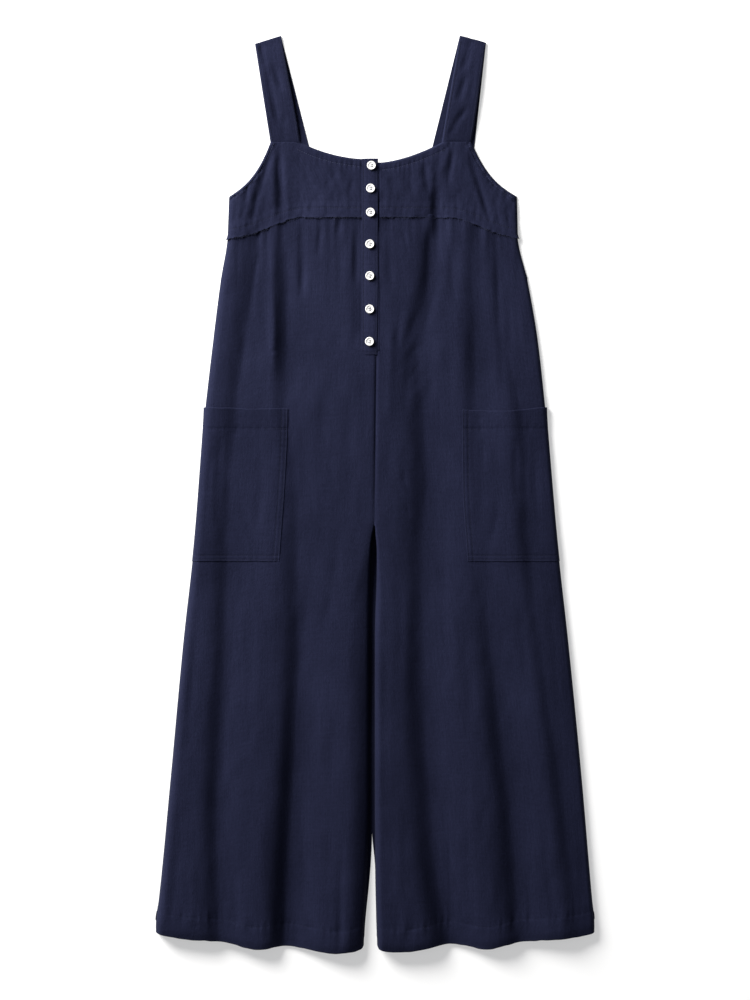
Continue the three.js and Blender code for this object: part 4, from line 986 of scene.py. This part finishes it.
# Columns across a strap, from its outer to its inner edge
ACROSS = np.array([
    0, .012, .035, .065, .09, .12, .17, .24, .32, .41, .5, .59, .68, .76, .83, .88, .91, .935, .965, .988, 1,
])
STRAP_WIDTH = 44
for side in SIGN:
    corner = {k: np.array(v, float) for k, v in STRAPS[side].items()}

    def line(a, b, t):
        """Points between two edges of the strap: t along it and ACROSS from its outer to its inner edge."""
        start, end = (mix(corner[k][0], corner[k][1], ACROSS[:, None]) for k in (a, b))
        return mix(start[None], end[None], np.asarray(t)[:, None, None])

    front = line("front", "fold", np.concatenate([[-0.008, 0.0, 0.008], np.linspace(0.02, 1, 62)]))
    x, y = front[..., 0], front[..., 1]
    wave = 0.5 * noise(x, y, 18, 46, 101)
    edge = np.minimum(ACROSS, 1 - ACROSS)[None] * STRAP_WIDTH
    z = strap_top(side, x, y) + wave * smooth(edge / 6) + crease(STRAP_CREASES, x, y)
    z = z + line_stitch(edge - 3, y, deep=0.35, width=1.1, pucker=0.3, period=9, seed=102) * smooth(edge / 2)
    z = np.maximum(z, mix(BACK_TOP + CLOTH + 0.1, 3.3, smooth((y - 630) / 25)))
    fold = line("fold", "fold", [0])[0]
    away = np.array([-(fold[-1, 1] - fold[0, 1]), fold[-1, 0] - fold[0, 0]])
    away = away / np.linalg.norm(away) * np.sign(away[1])
    radius = (z[-1] - FLOOR_GAP) / 2
    turn = np.radians([20, 45, 70, 90, 110, 135, 160])[:, None]
    out = radius * np.sin(turn)
    bend = np.stack([fold[:, 0] + away[0] * out, fold[:, 1] + away[1] * out,
                     FLOOR_GAP + radius * (1 + np.cos(turn))], -1)
    back = line("fold", "back", np.linspace(0, 1, 48))
    flat = FLOOR_GAP + 0.15 * (1 + noise(back[..., 0], back[..., 1], 20, 60, 103))
    if side == "right":
        hump = np.sin(np.pi * clamp(ACROSS / 0.96)) ** 0.8
        flat = flat + 1.9 * (hump * np.sin(np.pi * np.linspace(0, 1, 48)[:, None]) ** 0.7)
    grid = np.concatenate([np.stack([x, y, z], -1), bend, np.concatenate([back, flat[..., None]], -1)])
    edge = np.repeat(edge, len(grid), 0)
    piece = shell(f"strap_laid_{side}", grid, navy, wear=worn((edge, 2.0, 0.45)),
                  origin=(5.1 * SIGN[side], 0))
    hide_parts(f"strap_{side}")

# Buttons

PROFILE = [
    (0, 0), (4.4, 0), (5.4, 0.25), (6.1, 0.8), (6.4, 1.3), (6.35, 1.75), (6.05, 2.2), (5.6, 2.45),
    (5.1, 2.35), (4.6, 1.95), (4.1, 1.7), (3.0, 1.6), (0, 1.55),
]
PIN = [(0, -2), (0.85, -2), (0.85, 1.6), (1.15, 2.2), (1.15, 5), (0, 5)]
HOLE_OFFSET = 1.5
HOLES = [(i * HOLE_OFFSET, j * HOLE_OFFSET) for i in (-1, 1) for j in (-1, 1)]
UP = (0.0, 0.0, 1.0)


def drilled_button():
    """The turned disc with its four holes cut, once, as a mesh in millimetres round its own middle."""
    points, faces = lathe(PROFILE, 44)
    disc = bpy.data.objects.new("disc", bpy.data.meshes.new("disc"))
    disc.data.from_pydata(points.tolist(), [], faces.tolist())
    pin, pin_faces = lathe(PIN, 14)
    drill_points = np.vstack([pin + [i, j, 0] for i, j in HOLES])
    drill_faces = np.vstack([pin_faces + k * len(pin) for k in range(4)])
    drill = bpy.data.objects.new("drill", bpy.data.meshes.new("drill"))
    drill.data.from_pydata(drill_points.tolist(), [], drill_faces.tolist())
    for o in (disc, drill):
        bpy.context.scene.collection.objects.link(o)
    cut = disc.modifiers.new("holes", "BOOLEAN")
    cut.operation, cut.object, cut.solver = "DIFFERENCE", drill, "EXACT"
    graph = bpy.context.evaluated_depsgraph_get()
    made = bpy.data.meshes.new_from_object(disc.evaluated_get(graph))
    for o in (disc, drill):
        bpy.data.objects.remove(o)
    return made


turned = drilled_button()
middles, thread_places, thread_frames = [], [], []
for k in range(1, len(BUTTONS) + 1):
    low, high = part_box(f"button_{k}")
    middle = np.array([(low.x + high.x) / 2, (low.y + high.y) / 2, low.z]) / MM
    spin = rng.uniform(-0.35, 0.35)
    along, beside = np.array([np.cos(spin), np.sin(spin), 0.0]), np.array([-np.sin(spin), np.cos(spin), 0.0])
    mesh = turned.copy()
    co = np.zeros(len(mesh.vertices) * 3)
    mesh.vertices.foreach_get("co", co)
    co = co.reshape(-1, 3) @ np.stack([along, beside, UP]) + middle
    mesh.vertices.foreach_set("co", (co * MM).ravel())
    mesh.polygons.foreach_set("use_smooth", np.ones(len(mesh.polygons), bool))
    mesh.set_sharp_from_angle(angle=0.7)
    mesh.materials.clear()
    mesh.materials.append(button_white)
    button = bpy.data.objects.new(f"button_turned_{k}", mesh)
    bpy.context.scene.collection.objects.link(button)
    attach(button, "root")
    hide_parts(f"button_{k}")
    middles.append(middle)
    for row in (-HOLE_OFFSET, HOLE_OFFSET):
        for strand in (-0.55, 0, 0.55):
            thread_places.append(middle + beside * (row + strand) + [0, 0, 1.85 + 0.12 * (strand == 0)])
            thread_frames.append(np.stack([along, beside, UP], -1))
copies("button_threads", *capsule(4.2, 0.5), np.array(thread_places), np.array(thread_frames), button_thread)
standing = np.stack([[0, 0, 1], [0, 1, 0], [-1, 0, 0]], -1).astype(float)
copies("button_shanks", *capsule(2.6, 0.9), np.array(middles), np.repeat(standing[None], len(middles), 0),
       button_thread)

# Buttonholes: a rim of satin stitches that shows beyond each button
turn = np.tile(np.linspace(0, 2 * np.pi, 64, endpoint=False), len(BUTTONS))
x, y = np.repeat(np.array(BUTTONS), 64, 0).T
x = x + 1.1 * np.cos(turn)
y = y + 8.0 * np.sign(np.sin(turn)) * np.abs(np.sin(turn)) ** 0.6
out = unit(np.stack([np.cos(turn), 0.35 * np.sin(turn), turn * 0], -1))
beside = np.stack([-out[:, 1], out[:, 0], turn * 0], -1)
buttonholes = copies(
    "buttonhole_stitches", *capsule(1.7, 0.26), np.stack([x, y, over_surface(x, y) + 0.12], -1),
    np.stack([out, beside, np.broadcast_to(UP, out.shape)], -1), thread,
)

# Stitching


def sew(name, path, up=UP, material=thread, **sizes):
    """Stitches along a path, kept under their name."""
    stitches(name, path, up, material, **sizes)


def on(surface, side, x, y, above=0.12):
    """A path that runs a little above a surface."""
    return np.stack([x, y, surface(side, x, y) + above], -1)


def pocket_top(side, x, y):
    """Height of a pocket's outer face on the front."""
    return front_z(side, x, y) + POCKET_OFF + pocket_rise(side, x, y) + 0.12


def inset(curve, side, x, by):
    """The plan points that lie this far inside a curve, square to it."""
    slope = np.gradient(curve(side, x), x)
    norm = np.hypot(slope, 1)
    return x + slope / norm * by, curve(side, x) - by / norm


for side, sign in SIGN.items():
    x = np.linspace(float(inner_x(side, HEM_Y)) + sign * 2, float(side_x(side, HEM_Y)) - sign * 2, 160)
    sew(f"hem_stitches_{side}", on(leg_surface, side, x, front_hem_y(x) + HEM_DEPTH, 0.0), radius=0.22)
    y = back_hem_y(x) + HEM_DEPTH
    sew(f"back_hem_stitches_{side}", np.stack([x, y, under(x, y) - 0.02], -1), (0, 0, -1))

    y = np.linspace(POCKET_TOP_Y - 2, POCKET_BOTTOM_Y + 1, 90)
    edge = np.abs(read(POCKET_EDGE[side], y))
    lines = [on(pocket_top, side, sign * (edge + off), y, 0.05) for off in POCKET_LINES]
    x = np.linspace(float(lines[0][-1, 0]), float(side_x(side, POCKET_BOTTOM_Y)) - sign * 4, 60)
    lines += [on(pocket_top, side, x, np.full_like(x, POCKET_BOTTOM_Y + off), 0.05) for off in POCKET_LINES]
    x = np.linspace(float(lines[0][0, 0]), float(side_x(side, POCKET_TOP_Y)) - sign * 4, 60)
    tilt = 0.5 * (POCKET_MOUTH[side][0] - POCKET_TOP_Y) * (1 - np.linspace(0, 1, 60))
    lines.append(on(pocket_top, side, x, POCKET_TOP_Y - POCKET_HEM + tilt, 0.05))
    for k, line in enumerate(lines):
        sew(f"pocket_stitches_{side}_{k}", line, pitch=3.0, length=2.2, radius=0.26)

    (outer, _), (inner, _) = STRAPS[side]["front"]
    neck = np.linspace(float(inner_x(side, 480)) + sign, inner, 60)
    arm = np.linspace(outer, float(side_x(side, ARMPIT_Y)) - sign * 3, 60)
    for edge, curve, x, by in (("neck", neck_y, neck, NECK_STITCH), ("arm", armhole_y, arm, ARM_STITCH)):
        path = on(yoke_surface, side, *inset(curve, side, x, by))
        sew(f"{edge}_stitches_{side}", path, material=edge_thread)
    x = np.linspace(float(inner_x(side, SEAM_Y)) + sign, float(side_x(side, SEAM_Y - 20)) - sign * 3, 110)
    sew(f"yoke_stitches_{side}", on(yoke_surface, side, x, seam_y(x) + YOKE_STITCH))
    for k, across in enumerate((0.07, 0.93)):
        low, high = (mix(*np.array(STRAPS[side][end], float), across) for end in ("front", "fold"))
        x, y = mix(low, high, np.linspace(0.02, 0.97, 80)[:, None]).T
        sew(f"strap_stitches_{side}_{k}", np.stack([x, y, strap_top(side, x, y) + 0.02], -1))

y = np.linspace(BAND_TOP_Y - 1.5, BAND_END_Y + 1.5, 120)
lines = [(np.full_like(y, BAND_LEFT + BAND_STITCH), y), (over_right(y) - BAND_STITCH, y)]
for at in BAND_BARS:
    x = np.linspace(BAND_LEFT + 1, float(over_right(at)) - 1, 12)
    lines.append((x, np.full_like(x, at)))
for k, (x, y) in enumerate(lines):
    path = np.stack([x, y, over_surface(x, y) + 0.12], -1)
    sew(f"band_stitches_{k}", path, pitch=2.8, length=2.1, radius=0.26)

# The frayed edge of the front yokes


def fray(name, starts, directions, long, radius=0.11, steps=5):
    """Loose yarns: four-sided tubes whose line bends at random from its start, thinner towards its end."""
    n = len(starts)
    t = np.linspace(0, 1, steps)
    bend = rng.normal(0, 0.35, (n, 3)) * [1, 0.6, 0.25]
    run = directions[:, None] * t[None, :, None] + bend[:, None] * t[None, :, None] ** 2
    line = starts[:, None] + long[:, None, None] * run
    line[..., 2] = np.maximum(line[..., 2], 1.0)
    ahead = unit(np.gradient(line, axis=1))
    side = unit(np.cross(ahead, [0.13, 0.21, 1.0]))
    up = np.cross(side, ahead)
    turn = (np.arange(4) * np.pi / 2)[:, None]
    thick = radius * (1 - 0.45 * t)[None, :, None, None]
    ring = line[:, :, None] + thick * (np.cos(turn) * side[:, :, None] + np.sin(turn) * up[:, :, None])
    index = np.arange(steps * 4).reshape(steps, 4)
    after = np.roll(index, -1, 1)
    quads = np.stack([index[:-1], after[:-1], after[1:], index[1:]], -1).reshape(-1, 4)
    quads = np.vstack([quads, [[3, 2, 1, 0]], [index[-1]]])
    faces = (quads[None] + np.arange(n)[:, None, None] * steps * 4).reshape(-1, 4)
    return mesh_piece(name, ring.reshape(-1, 3), faces, fray_thread)


for side, sign in SIGN.items():
    count = 520
    near, far = float(inner_x(side, SEAM_Y)), float(side_x(side, SEAM_Y - 32))
    x = mix(near, far, rng.uniform(0, 1, count))
    y = raw_edge_y(x) + rng.uniform(0.0, 1.2, count)
    z = yoke_surface(side, x, y) - rng.uniform(0, 0.5, count)
    angle = rng.normal(0, 0.7, count)
    heading = np.stack([np.sin(angle), -np.cos(angle), rng.normal(0.05, 0.25, count)], -1)
    long = rng.gamma(3.0, 0.75, count).clip(0.8, 6.5)
    fray(f"fray_{side}", np.stack([x, y, z], -1), heading, long)

# Floor and light: sizes and places in metres, power in watts

FLOOR_HALF, FLOOR_GREY, FLOOR_GLOW = 6, (0.5, 0.5, 0.5, 1), 0.44
SKY_COLOUR, SKY_STRENGTH = (0.93, 0.95, 1.0, 1), 0.24
KEY_PLACE, KEY_SIZE, KEY_POWER, KEY_COLOUR = (-2.0, 1.87, 1.23), 2.0, 424, (1.0, 0.99, 0.97)

floor_mesh = bpy.data.meshes.new("floor")
floor_mesh.from_pydata([(i * FLOOR_HALF, j * FLOOR_HALF, 0) for i, j in ((-1, -1), (1, -1), (1, 1), (-1, 1))],
                       [], [(0, 1, 2, 3)])
floor = bpy.data.objects.new("floor", floor_mesh)
bpy.context.scene.collection.objects.link(floor)
paper, *_ = tree("pale_floor", Base_Color=FLOOR_GREY, Roughness=0.95,
                 Emission_Color=(1.0, 1.0, 1.0, 1), Emission_Strength=FLOOR_GLOW)
floor_mesh.materials.append(paper)

scene = bpy.context.scene
scene.view_settings.view_transform = "Standard"
scene.view_settings.look = "None"
world = bpy.data.worlds.new("studio")
world.use_nodes = True
sky = world.node_tree.nodes["Background"].inputs
sky["Color"].default_value, sky["Strength"].default_value = SKY_COLOUR, SKY_STRENGTH
scene.world = world

key_light = bpy.data.lights.new("key", "AREA")
key_light.shape, key_light.size, key_light.energy, key_light.color = "DISK", KEY_SIZE, KEY_POWER, KEY_COLOUR
key = bpy.data.objects.new("key", key_light)
scene.collection.objects.link(key)
key.location = KEY_PLACE
key.rotation_euler = (-key.location).to_track_quat("-Z", "Y").to_euler()
